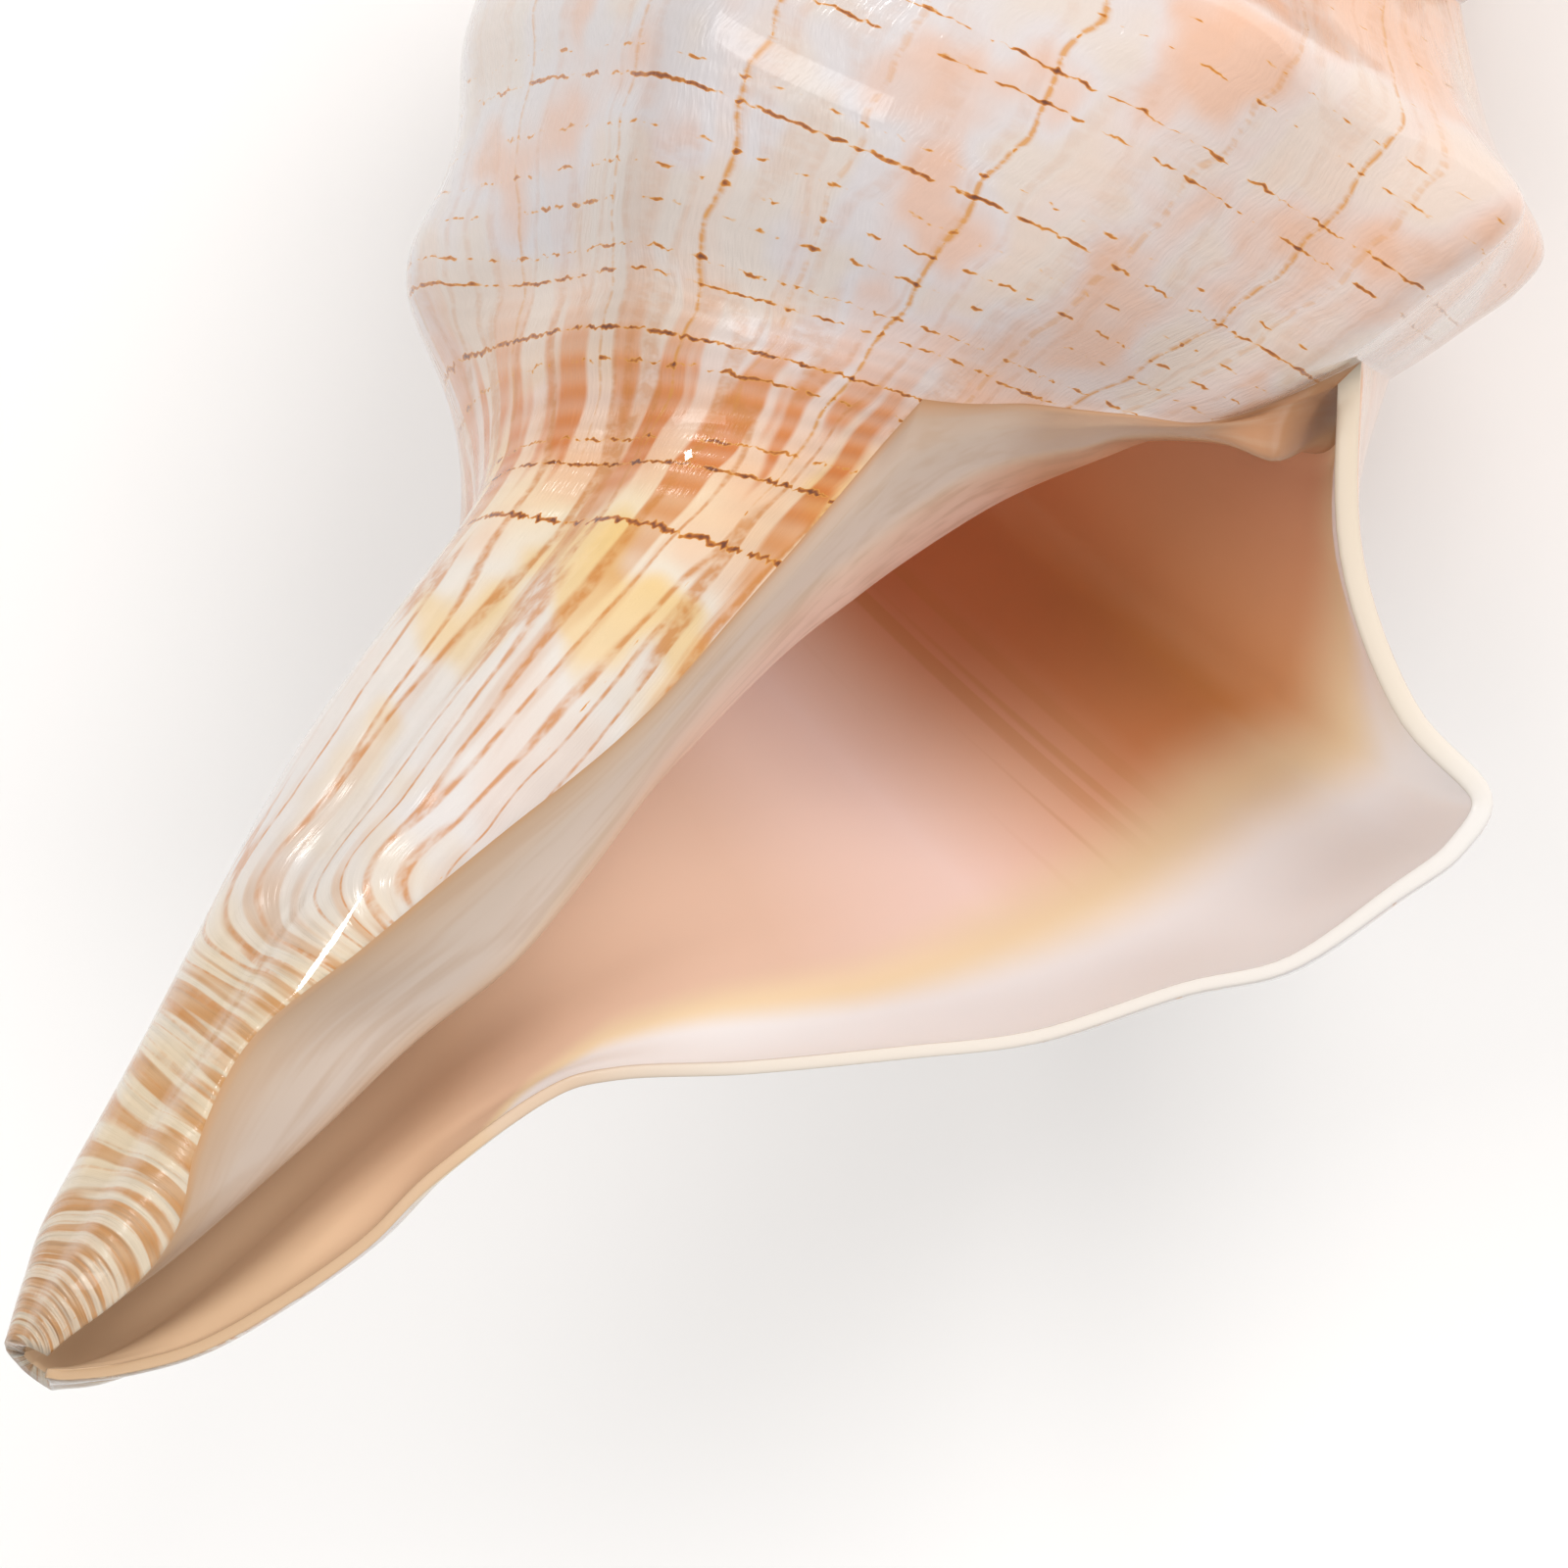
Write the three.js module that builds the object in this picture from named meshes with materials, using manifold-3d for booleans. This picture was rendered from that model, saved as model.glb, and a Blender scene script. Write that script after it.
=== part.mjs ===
// Conch shell: a spindle-shaped, right-handed sea snail shell with a knobbed shoulder,
// a long open canal and a wide mouth, lying on its back with the mouth up.
import * as THREE from "three";
import { mergeVertices } from "three/addons/utils/BufferGeometryUtils.js";
import Module from "manifold-3d";

// Sizes are in millimetres. In the shell's own frame the apex is the origin, the axis runs
// down from it, +X is the lip side and -Y the side of the mouth.
// Growth is counted in turns: 0 is the lip, -1 the same place one whorl earlier.
const GROWTH_PER_TURN = 1.7;
const FIRST_TURN = -6;
const COARSE_BEFORE = -2;

// One whorl at the size it has at the lip, from the suture down to the neck: radius, depth below the apex.
const WHORL = [
  [24.0, 52.0],
  [29.2, 56.5],
  [35.6, 61.6],
  [43.7, 66.6],
  [44.9, 72.3],
  [43.7, 79.1],
  [41.7, 85.7],
  [39.0, 91.9],
  [34.8, 98.2],
  [29.0, 104.5],
  [23.8, 109.8],
];
// Where the next whorl lies on the one before it, counted along WHORL.
const SUTURE = 6.4;

// Edge of the outer lip from the suture over the shoulder to the tip of the canal: X, Y, depth.
const LIP = [
  [22.3, -10.7, 55.8],
  [29.3, -10.2, 63.6],
  [37.5, -9.8, 68.7],
  [44.3, -9.6, 70.3],
  [45.1, -9.4, 74.4],
  [43.6, -9.2, 79.0],
  [40.9, -8.8, 86.2],
  [36.5, -8.4, 91.3],
  [31.1, -7.8, 98.7],
  [25.2, -7.2, 104.2],
  [18.1, -6.0, 110.4],
  [11.9, -4.4, 115.2],
  [9.2, -3.2, 118.7],
  [6.7, -2.2, 126.4],
  [5.7, -1.9, 132.2],
  [3.6, -2.0, 138.3],
  [1.2, -2.7, 143.4],
  [-1.8, -3.5, 147.2],
  [-4.2, -3.7, 149.4],
  [-5.4, -3.6, 150.1],
];
const LIP_FORWARD = 0.071;
const NECK_TOP = 10;
const TIP = 19;

// Neck and canal from the neck's top to the tip, at three places round the shell: radius, depth.
const CORNER_TURN = -0.775;
const NECK_FRONT = [
  [17.0, 72.6],
  [14.4, 77.0],
  [13.2, 83.0],
  [12.8, 92.5],
  [12.6, 104.0],
  [11.9, 115.0],
  [10.5, 125.0],
  [8.3, 135.5],
  [6.0, 144.0],
  [2.8, 148.8],
];
const NECK_LEFT = [
  [19.5, 83.5],
  [15.4, 88.7],
  [14.0, 93.0],
  [13.5, 100.0],
  [12.6, 110.7],
  [10.2, 123.6],
  [8.3, 132.7],
  [6.2, 141.7],
  [4.4, 145.8],
  [2.5, 149.5],
];
const NECK_BACK = [
  [22.0, 94.5],
  [17.6, 100.5],
  [15.0, 106.5],
  [13.4, 113.0],
  [11.9, 121.0],
  [10.1, 129.0],
  [8.3, 137.0],
  [6.4, 143.0],
  [4.7, 147.0],
  [2.5, 150.0],
];
// The canal bends to the left of the axis: depth, X of its middle.
const BEND = [
  [0, 0],
  [71, 0],
  [95, -1.5],
  [113, -2.7],
  [131, -3.6],
  [143, -5.0],
  [150, -6.2],
  [160, -7.4],
];

// Shoulder knobs: their places in turns on the last whorl, then an even spacing before it.
const LATE_KNOBS = [-0.085, -0.21, -0.335, -0.46, -0.62, -0.775, -1.025, -1.165, -1.305];
const KNOB_START = -1.44;
const KNOB_STEP = 0.13;
const KNOB_HEIGHT = 5.2;
const KNOB_WIDTH = 0.034;
// A sharper knob stands at the right of the mouth side.
const SHARP_KNOB = { turn: -0.89, height: 4.8, width: 0.025 };
// Height of a knob's rib along the whorl: place, share of the knob.
const RIB = [
  [0, 0],
  [1.2, 0],
  [2.3, 0.45],
  [3, 1],
  [3.7, 0.95],
  [5, 0.55],
  [7, 0.4],
  [8.4, 0.42],
  [9.3, 0.35],
  [10.3, 0],
  [20, 0],
];
// One rib ends in a low swelling on the left of the body.
const SWELLING = { turn: -0.46, place: 9.0, height: 4.2 };

// Edge of the callus: place from the suture to the neck's top, then its turn down the canal.
const CALLUS_ABOVE = [
  [0, 6.4],
  [0.15, 8.0],
  [0.4, 8.9],
  [0.75, 9.4],
  [1, 10],
];
const CALLUS_DOWN = [
  [10, -0.775],
  [12.5, -0.78],
  [13.5, -0.775],
  [14.3, -0.75],
  [15.2, -0.72],
  [16, -0.685],
  [16.7, -0.71],
  [17.3, -0.755],
  [19, -0.75],
];

// Columella: its right edge and its back inside the mouth, down its length: place, X, Y, depth.
const COLUMELLA_EDGE = [
  [0, 25.7, 3.6, 58.3],
  [1, 21.7, -10.4, 61.6],
  [2, 16.9, -10.8, 64.4],
  [5, 11.8, -11.0, 69.0],
  [8, 7.4, -10.7, 74.7],
  [10, 5.2, -8.7, 80.7],
  [12, 3.8, -7.4, 88.0],
  [13, 3.0, -6.5, 96.0],
  [14, 2.9, -5.5, 105.0],
  [15, 2.4, -5.2, 113.0],
  [16, 0.3, -4.6, 120.5],
  [17, -1.2, -2.6, 130.0],
  [18, -3.5, -1.4, 140.0],
  [19, -6.6, -0.6, 148.6],
];
const COLUMELLA_BACK = [
  [0, 11.0, 20.7, 54.3],
  [2, 14.0, 12.0, 58.5],
  [5, 11.0, 8.0, 66.0],
  [8, 8.0, 8.0, 74.0],
  [10, 5.5, 7.5, 82.0],
  [12, 3.6, 6.5, 91.0],
  [13, 2.5, 5.5, 99.0],
  [14, 1.0, 5.0, 109.0],
  [15, -1.5, 4.6, 118.0],
  [16, -3.0, 4.2, 126.0],
  [17, -4.2, 3.4, 134.0],
  [18, -5.8, 2.2, 142.0],
  [19, -7.2, 0.6, 149.0],
];
const CALLUS_BULGE = 1.2;

const LIP_WALL = 1.5;
const DEEP_WALL = 2.6;
const TIP_WALL = 1.2;
// The inside begins this far below the suture, at the lip and deep in the mouth.
const NOTCH_TOP = 0.12;
const INNER_TOP = 0.6;

// Rows and columns of the surface.
const BODY_COLUMNS = 14;
const NECK_COLUMNS = 11;
const INSIDE_ROWS = 14;
const NECK_ROWS = 2 * INSIDE_ROWS + 1;

// The shell at rest lies on its back on two shoulder knobs and a knob of the spire, which are
// worn flat where they touch. This direction of its own frame is up then.
const UP_AT_REST = [0.1005, -0.8618, -0.4972];
const WORN_DEPTH = 0.35;

const mix = (a, b, u) => a + (b - a) * u;

function ease(from, to, x) {
  const u = Math.min(Math.max((x - from) / (to - from), 0), 1);
  return u * u * (3 - 2 * u);
}

// A smooth curve through keyed rows [key, value, value, ...]; the answer leaves the key out.
function through(rows, x) {
  const last = rows.length - 1;
  let i = 0;
  while (i < last - 1 && x >= rows[i + 1][0]) i += 1;
  const step = rows[i + 1][0] - rows[i][0];
  const u = (x - rows[i][0]) / step;
  const slope = (k, j) => {
    const rise = (n) => (rows[n + 1][j] - rows[n][j]) / (rows[n + 1][0] - rows[n][0]);
    if (k === 0) return rise(0);
    if (k === last) return rise(last - 1);
    const before = rows[k][0] - rows[k - 1][0];
    const after = rows[k + 1][0] - rows[k][0];
    return (rise(k - 1) * after + rise(k) * before) / (before + after);
  };
  return rows[i].slice(1).map((value, n) => {
    const j = n + 1;
    const rise = rows[i + 1][j] - value;
    const bend = (1 - u) * (slope(i, j) * step - rise) - u * (slope(i + 1, j) * step - rise);
    return value + rise * u + u * (1 - u) * bend;
  });
}

const numbered = (rows) => rows.map((row, k) => [k, ...row]);
const [sutureRadius, sutureDepth] = through(numbered(WHORL), SUTURE);
WHORL[0] = [sutureRadius / GROWTH_PER_TURN, sutureDepth / GROWTH_PER_TURN];

const middle = (depth) => through(BEND, depth)[0];
const lipRound = LIP.map(([x, y, depth]) => [Math.hypot(x - middle(depth), y), depth]);
const lipAngle = LIP.map(([x, y, depth]) => Math.atan2(y, x - middle(depth)));
const neckRounds = [
  [CORNER_TURN, ...NECK_FRONT.flat()],
  [-0.5, ...NECK_LEFT.flat()],
  [-0.25, ...NECK_BACK.flat()],
  [0, ...lipRound.slice(NECK_TOP).flat()],
];

const knobs = [...LATE_KNOBS];
for (let turn = KNOB_START; turn > FIRST_TURN; turn -= KNOB_STEP) knobs.push(turn);

// Radius, depth and angle ahead of the section at one turn, as rows keyed by place.
const sections = new Map();
function sectionAt(turn) {
  const key = turn.toFixed(6);
  if (sections.has(key)) return sections.get(key);
  const size = GROWTH_PER_TURN ** turn;
  const towardsLip = 0.75 * ease(-0.8, -0.45, turn) + 0.25 * ease(-0.45, 0, turn);
  const neck = through(neckRounds, Math.min(Math.max(turn, CORNER_TURN), 0));
  const neckShare = ease(-0.9, CORNER_TURN, turn);
  const ahead = ease(-0.3, 0, turn);
  const rows = [];
  for (let place = 0; place <= TIP; place += 1) {
    const n = 2 * (place - NECK_TOP);
    let radius = neck[n];
    let depth = neck[n + 1];
    if (place <= NECK_TOP) {
      const share = place === NECK_TOP ? neckShare : 0;
      radius = mix(size * mix(WHORL[place][0], lipRound[place][0], towardsLip), radius ?? 0, share);
      depth = mix(size * mix(WHORL[place][1], lipRound[place][1], towardsLip), depth ?? 0, share);
    }
    rows.push([place, radius, depth, ahead * lipAngle[place]]);
  }
  sections.set(key, rows);
  return rows;
}

// A point of the outside at a place along the whorl and a turn of growth.
function outside(place, turn, knobShare = 1) {
  const [radius, depth, ahead] = through(sectionAt(turn), place);
  let bump = 0;
  for (const knob of knobs) bump += Math.exp(-(((turn - knob) / KNOB_WIDTH) ** 2));
  const fade = 1 - ease(-0.06, 0, turn);
  const even = KNOB_HEIGHT * GROWTH_PER_TURN ** turn * (bump - 0.35) * fade;
  const sharp = SHARP_KNOB.height * Math.exp(-(((turn - SHARP_KNOB.turn) / SHARP_KNOB.width) ** 2));
  const rib = through(RIB, place)[0] * (even + sharp);
  const aside = ((turn - SWELLING.turn) / 0.05) ** 2 + (place - SWELLING.place) ** 2;
  const r = radius + knobShare * (rib + SWELLING.height * Math.exp(-aside));
  const angle = ahead - 2 * Math.PI * turn;
  return new THREE.Vector3(r * Math.cos(angle) + middle(depth), r * Math.sin(angle), -depth);
}

// Where a row of the outside ends: on the suture of the next whorl, at the callus or at the neck.
// The rows lean forward there, as the lip does.
function rowEnd(turn) {
  if (turn <= -1) return [SUTURE, LIP_FORWARD * ease(-0.3, 0, turn + 1)];
  if (turn >= CORNER_TURN) return [NECK_TOP, 0];
  const along = (turn + 1) / (CORNER_TURN + 1);
  return [through(CALLUS_ABOVE, along)[0], LIP_FORWARD * (1 - along)];
}
const leaning = (turn, forward, place) => turn + forward * Math.min(1, place / SUTURE) ** 2;

const apex = new THREE.Vector3(0, 0, -WHORL[0][1] * GROWTH_PER_TURN ** (FIRST_TURN + 1) * 0.6);
const grown = (point, turn) => point.lerp(apex, Math.max(0, FIRST_TURN + 1 - turn));
function endOf(turn) {
  const [place, forward] = rowEnd(turn);
  return grown(outside(place, turn + forward), turn);
}
const startOf = (turn) => (turn - 1 > FIRST_TURN + 1e-6 ? endOf(turn - 1) : apex.clone());

// The outside with its top edge laid onto the whorl before it.
function skin(place, turn, rowTurn, knobShare = 1) {
  const point = grown(outside(place, turn, knobShare), rowTurn);
  const nearSuture = Math.max(0, 1 - place / 2) ** 2;
  if (nearSuture === 0) return point;
  const gap = startOf(rowTurn).sub(grown(outside(0, rowTurn), rowTurn));
  return point.addScaledVector(gap, nearSuture);
}

function bodyPoint(turn, share) {
  const [lastPlace, forward] = rowEnd(turn);
  const place = share * lastPlace;
  return skin(place, leaning(turn, forward, place), turn);
}

function neckPoint(place, share) {
  return outside(place, mix(through(CALLUS_DOWN, place)[0], 0, share));
}

// The outside with low knobs, and its corners rounded off where soft is 1.
function smoothSkin(place, turn, soft) {
  const point = skin(place, turn, turn, 0.3);
  const reach = Math.min(Math.max(Math.min(place, TIP - place), 0), 1.2);
  const beside = skin(place - reach, turn, turn, 0.3).lerp(skin(place + reach, turn, turn, 0.3), 0.5);
  return point.lerp(beside, soft / 2);
}

// The wall's inner side: the smooth outside moved in by the wall.
function insidePoint(place, turn, wall, soft) {
  const point = smoothSkin(place, turn, soft);
  const lower = smoothSkin(Math.min(place + 0.05, TIP), turn, soft);
  const down = lower.sub(smoothSkin(place - 0.05, turn, soft));
  const on = point.clone().sub(smoothSkin(place, turn - 0.004, soft));
  return point.addScaledVector(new THREE.Vector3().crossVectors(on, down).normalize(), -wall);
}

// Turns at which the rows of the last whorl lie.
const lastRows = [];
for (let k = 0; k < BODY_COLUMNS; k += 1) lastRows.push(mix(-1, CORNER_TURN, k / BODY_COLUMNS));
for (let k = 0; k < NECK_ROWS; k += 1) lastRows.push(mix(CORNER_TURN, 0, k / NECK_ROWS));
const turns = [];
for (let whorl = FIRST_TURN + 1; whorl <= 0; whorl += 1) {
  lastRows.forEach((turn) => turns.push(turn + whorl));
}
turns.push(0);

const triangles = [];
function addSheet(rows, turned = false) {
  for (let i = 0; i + 1 < rows.length; i += 1) {
    for (let j = 0; j + 1 < rows[i].length; j += 1) {
      const [a, b, c, d] = [rows[i][j], rows[i][j + 1], rows[i + 1][j + 1], rows[i + 1][j]];
      if (turned) triangles.push([a, d, b], [b, d, c]);
      else triangles.push([a, c, b], [a, d, c]);
    }
  }
}

// Outside of the spire and the body. The early whorls keep every second column.
const body = turns.map((turn) => {
  const row = [];
  for (let j = 0; j <= BODY_COLUMNS; j += 1) {
    const column = turn < COARSE_BEFORE ? j - (j % 2) : j;
    row.push(column === 0 ? startOf(turn) : bodyPoint(turn, column / BODY_COLUMNS));
  }
  return row;
});
addSheet(body);

// Outside of the neck and the canal, from the callus edge round the back to the lip.
const neckPlaces = [];
for (let j = 0; j <= NECK_COLUMNS; j += 1) neckPlaces.push(mix(NECK_TOP, TIP, j / NECK_COLUMNS));
const neck = [];
for (let i = 0; i <= NECK_ROWS; i += 1) {
  neck.push(neckPlaces.map((place) => neckPoint(place, i / NECK_ROWS)));
}
addSheet(neck);

// Places down the columella and the inside of the wall.
const mouthPlaces = [];
for (let j = 0; j < BODY_COLUMNS; j += 1) mouthPlaces.push((NECK_TOP * j) / BODY_COLUMNS);
mouthPlaces.push(...neckPlaces);

// Inner side of the outer wall, from the lip into the mouth.
const inner = [];
for (let k = 0; k <= INSIDE_ROWS; k += 1) {
  const depthIn = k / INSIDE_ROWS;
  const turn = mix(CORNER_TURN, 0, 1 - k / NECK_ROWS);
  const top = mix(NOTCH_TOP, INNER_TOP, ease(0, 0.3, depthIn));
  const thick = mix(LIP_WALL, DEEP_WALL, ease(0, 0.35, depthIn));
  const soft = ease(0, 0.25, depthIn);
  inner.push(
    mouthPlaces.map((start) => {
      const place = start + top * Math.max(0, 1 - start / NECK_TOP);
      const wall = mix(thick, TIP_WALL, ease(14, TIP, place));
      return insidePoint(place, turn, wall, soft);
    }),
  );
}
const lipOuter = [...body[body.length - 1].slice(0, -1), ...neck[NECK_ROWS]];
addSheet([lipOuter, ...inner]);

// Columella and callus, from the callus edge round the right of the columella to the deep end.
const callusEdge = [];
const jRow = turns.length - 1 - NECK_ROWS - BODY_COLUMNS;
for (let k = 0; k < BODY_COLUMNS; k += 1) callusEdge.push(body[jRow + k][BODY_COLUMNS]);
callusEdge.push(...neck[0]);
const mouthRows = INSIDE_ROWS + 1;
const deepEnd = inner[INSIDE_ROWS];
const columella = mouthPlaces.map((place, j) => {
  const start = callusEdge[j];
  const [ex, ey, ez] = through(COLUMELLA_EDGE, place);
  const [bx, by, bz] = through(COLUMELLA_BACK, place);
  const edge = new THREE.Vector3(ex, ey, -ez);
  const back = new THREE.Vector3(bx, by, -bz);
  const face = start.clone().lerp(edge, 0.5);
  face.y -= CALLUS_BULGE * (1 - ease(13, 17, place));
  const curve = [
    [0, ...start.toArray()],
    [0.12, ...face.toArray()],
    [0.25, ...edge.toArray()],
    [0.55, ...back.toArray()],
    [1, ...deepEnd[j].toArray()],
  ];
  const line = [];
  for (let k = 0; k <= mouthRows; k += 1) line.push(new THREE.Vector3(...through(curve, k / mouthRows)));
  return line;
});
// The top of it runs along the corner under the suture.
for (let k = 1; k <= mouthRows; k += 1) {
  const gap = inner[k - 1][0].clone().sub(columella[0][k]);
  columella.forEach((line, j) => {
    if (k < mouthRows || j === 0) line[k].addScaledVector(gap, Math.max(0, 1 - mouthPlaces[j] / 3) ** 2);
  });
}
addSheet(columella, true);

// Rim of the canal's end.
const lastColumn = mouthPlaces.length - 1;
const rimInner = columella[lastColumn].slice();
for (let k = INSIDE_ROWS - 1; k >= 0; k -= 1) rimInner.push(inner[k][lastColumn]);
addSheet([rimInner, neck.map((row) => row[NECK_COLUMNS])]);

const wasm = await Module();
wasm.setup();

function solidFrom(geometry) {
  const plain = geometry.clone();
  plain.deleteAttribute("normal");
  plain.deleteAttribute("uv");
  const merged = mergeVertices(plain, 1e-3);
  const mesh = new wasm.Mesh({
    numProp: 3,
    vertProperties: new Float32Array(merged.attributes.position.array),
    triVerts: new Uint32Array(merged.index.array),
  });
  return new wasm.Manifold(mesh);
}

const whole = triangles.filter(([a, b, c]) => {
  const shortest = Math.min(a.distanceTo(b), b.distanceTo(c), c.distanceTo(a));
  return shortest > 1e-3;
});
const grownShell = new THREE.BufferGeometry().setFromPoints(whole.flat());

// From the shell's own frame to the resting one: the spire towards +X, the middle over the origin.
const up = new THREE.Vector3(...UP_AT_REST).normalize();
const along = new THREE.Vector3(0, 0, 1).addScaledVector(up, -up.z).normalize();
const across = new THREE.Vector3().crossVectors(up, along);
grownShell.applyMatrix4(new THREE.Matrix4().makeBasis(along, across, up).transpose());
grownShell.computeBoundingBox();
const centre = grownShell.boundingBox.getCenter(new THREE.Vector3());
grownShell.translate(-centre.x, -centre.y, -grownShell.boundingBox.min.z - WORN_DEPTH);

// The floor wears the knobs flat where they touch it.
const floor = new THREE.BoxGeometry(300, 300, 20);
floor.translate(0, 0, -10);
const worn = solidFrom(grownShell).subtract(solidFrom(floor)).getMesh();
const geometry = new THREE.BufferGeometry();
geometry.setAttribute("position", new THREE.BufferAttribute(worn.vertProperties, 3));
geometry.setIndex(new THREE.BufferAttribute(worn.triVerts, 1));
geometry.computeVertexNormals();

const material = new THREE.MeshStandardMaterial({ color: 0xead6c6, roughness: 0.3, metalness: 0 });
const shell = new THREE.Mesh(geometry, material);
shell.name = "shell";

const part = new THREE.Group();
part.name = "conch_shell";
part.add(shell);
export default part;
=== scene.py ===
# %% [markdown]
# Conch shell
#
# A spindle-shaped sea snail shell, lying on its back with the mouth up. The animal built it by
# adding shell at the lip only, so the whole form is one outline that grew while it turned about
# an axis. The lesson follows that: a flat grid is rolled up by the law of growth, and every
# marking is drawn on the grid's own two directions, which are time and width to the snail.

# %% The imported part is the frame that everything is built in
import math

import bpy
import numpy as np
from mathutils import Matrix, Vector


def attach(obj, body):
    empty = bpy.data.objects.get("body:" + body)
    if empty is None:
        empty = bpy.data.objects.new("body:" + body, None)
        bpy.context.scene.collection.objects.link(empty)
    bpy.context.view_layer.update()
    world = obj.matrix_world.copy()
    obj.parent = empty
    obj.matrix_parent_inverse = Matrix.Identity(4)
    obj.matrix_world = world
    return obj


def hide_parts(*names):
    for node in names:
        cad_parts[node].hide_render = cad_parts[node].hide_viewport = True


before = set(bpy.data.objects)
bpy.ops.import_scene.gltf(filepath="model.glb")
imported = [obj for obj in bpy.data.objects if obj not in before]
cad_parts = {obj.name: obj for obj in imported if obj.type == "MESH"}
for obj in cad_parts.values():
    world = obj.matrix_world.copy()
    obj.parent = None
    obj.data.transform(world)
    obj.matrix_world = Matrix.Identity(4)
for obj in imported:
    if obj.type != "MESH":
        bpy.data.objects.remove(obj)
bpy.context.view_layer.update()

# %% [markdown]
# Growth
#
# A shell could be sculpted from a ball, but the suture, the knobs and the streaks would then have
# to be matched by eye on every whorl. Here the same numbers as in the solid drive it. A point has
# two coordinates. Its turn counts growth: 0 is the lip and -1 is one whorl earlier. Its place
# counts along the outline: 0 at the suture, 3 at the shoulder, 10 at the neck, 19 at the tip.

# %% Driving sizes in millimetres: apex at the origin, axis downwards, +X the lip side, -Y the mouth
GROWTH_PER_TURN = 1.7
FIRST_TURN = -6
FIRST_STEP = 0.1
SUTURE = 6.4
LIP_FORWARD = 0.071
NECK_TOP = 10
TIP = 19
CORNER_TURN = -0.775

# One whorl at the size it has at the lip: radius, depth below the apex.
WHORL = [
    (24.0, 52.0), (29.2, 56.5), (35.6, 61.6), (43.7, 66.6), (44.9, 72.3), (43.7, 79.1),
    (41.7, 85.7), (39.0, 91.9), (34.8, 98.2), (29.0, 104.5), (23.8, 109.8),
]
# Edge of the outer lip from the suture to the tip of the canal: X, Y, depth.
LIP = [
    (22.3, -10.7, 55.8), (29.3, -10.2, 63.6), (37.5, -9.8, 68.7), (44.3, -9.6, 70.3),
    (45.1, -9.4, 74.4), (43.6, -9.2, 79.0), (40.9, -8.8, 86.2), (36.5, -8.4, 91.3),
    (31.1, -7.8, 98.7), (25.2, -7.2, 104.2), (18.1, -6.0, 110.4), (11.9, -4.4, 115.2),
    (9.2, -3.2, 118.7), (6.7, -2.2, 126.4), (5.7, -1.9, 132.2), (3.6, -2.0, 138.3),
    (1.2, -2.7, 143.4), (-1.8, -3.5, 147.2), (-4.2, -3.7, 149.4), (-5.4, -3.6, 150.1),
]
# Neck and canal at three places round the shell: radius, depth.
NECK_FRONT = [
    (17.0, 72.6), (14.4, 77.0), (13.2, 83.0), (12.8, 92.5), (12.6, 104.0),
    (11.9, 115.0), (10.5, 125.0), (8.3, 135.5), (6.0, 144.0), (2.8, 148.8),
]
NECK_LEFT = [
    (19.5, 83.5), (15.4, 88.7), (14.0, 93.0), (13.5, 100.0), (12.6, 110.7),
    (10.2, 123.6), (8.3, 132.7), (6.2, 141.7), (4.4, 145.8), (2.5, 149.5),
]
NECK_BACK = [
    (22.0, 94.5), (17.6, 100.5), (15.0, 106.5), (13.4, 113.0), (11.9, 121.0),
    (10.1, 129.0), (8.3, 137.0), (6.4, 143.0), (4.7, 147.0), (2.5, 150.0),
]
# The canal bends to the left of the axis: depth, X of its middle.
BEND = [
    (0, 0), (71, 0), (95, -1.5), (113, -2.7), (131, -3.6), (143, -5.0), (150, -6.2), (160, -7.4),
]
print("the last whorl is", 2 * WHORL[4][0], "mm wide before its knobs")

# %% Knobs, ribs, callus and columella
LATE_KNOBS = [-0.085, -0.21, -0.335, -0.46, -0.62, -0.775, -1.025, -1.165, -1.305]
SHARP_KNOB, SHARP_HEIGHT, SHARP_WIDTH = -0.89, 4.8, 0.025
KNOB_START = -1.44
KNOB_STEP = 0.13
KNOB_HEIGHT = 5.2
KNOB_WIDTH = 0.034
KNOBS = LATE_KNOBS + list(np.arange(KNOB_START, FIRST_TURN, -KNOB_STEP))
# Height of a knob's rib along the whorl: place, share of the knob.
RIB = [
    (0, 0), (1.2, 0), (2.3, 0.45), (3, 1), (3.7, 0.95), (5, 0.55), (7, 0.4), (8.4, 0.42),
    (9.3, 0.35), (10.3, 0), (20, 0),
]
SWELLING_TURN, SWELLING_PLACE, SWELLING_HEIGHT = -0.46, 9.0, 4.2
# The lip flares, so that the wall behind it stays back: place, mm.
LIP_FLARE = [
    (0, 2.0), (1, 1.7), (2, 0.6), (3.5, 0.2), (10.5, 0.2), (12, 0.8), (13.5, 1.1), (16, 0.9),
    (17.5, 1.1), (19, 1.5),
]

# Edge of the callus: place between the suture and the neck's top, then turn down the canal.
CALLUS_ABOVE = [(0, 6.4), (0.15, 8.0), (0.4, 8.9), (0.75, 9.4), (1, 10)]
CALLUS_DOWN = [
    (10, -0.775), (12.5, -0.78), (13.5, -0.775), (14.3, -0.75), (15.2, -0.72), (16, -0.685),
    (16.7, -0.71), (17.3, -0.755), (19, -0.75),
]
CALLUS_BULGE = 1.2
TOOTH_PLACE, TOOTH_ACROSS, TOOTH_HEIGHT = 1.0, 0.2, 1.4
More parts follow.
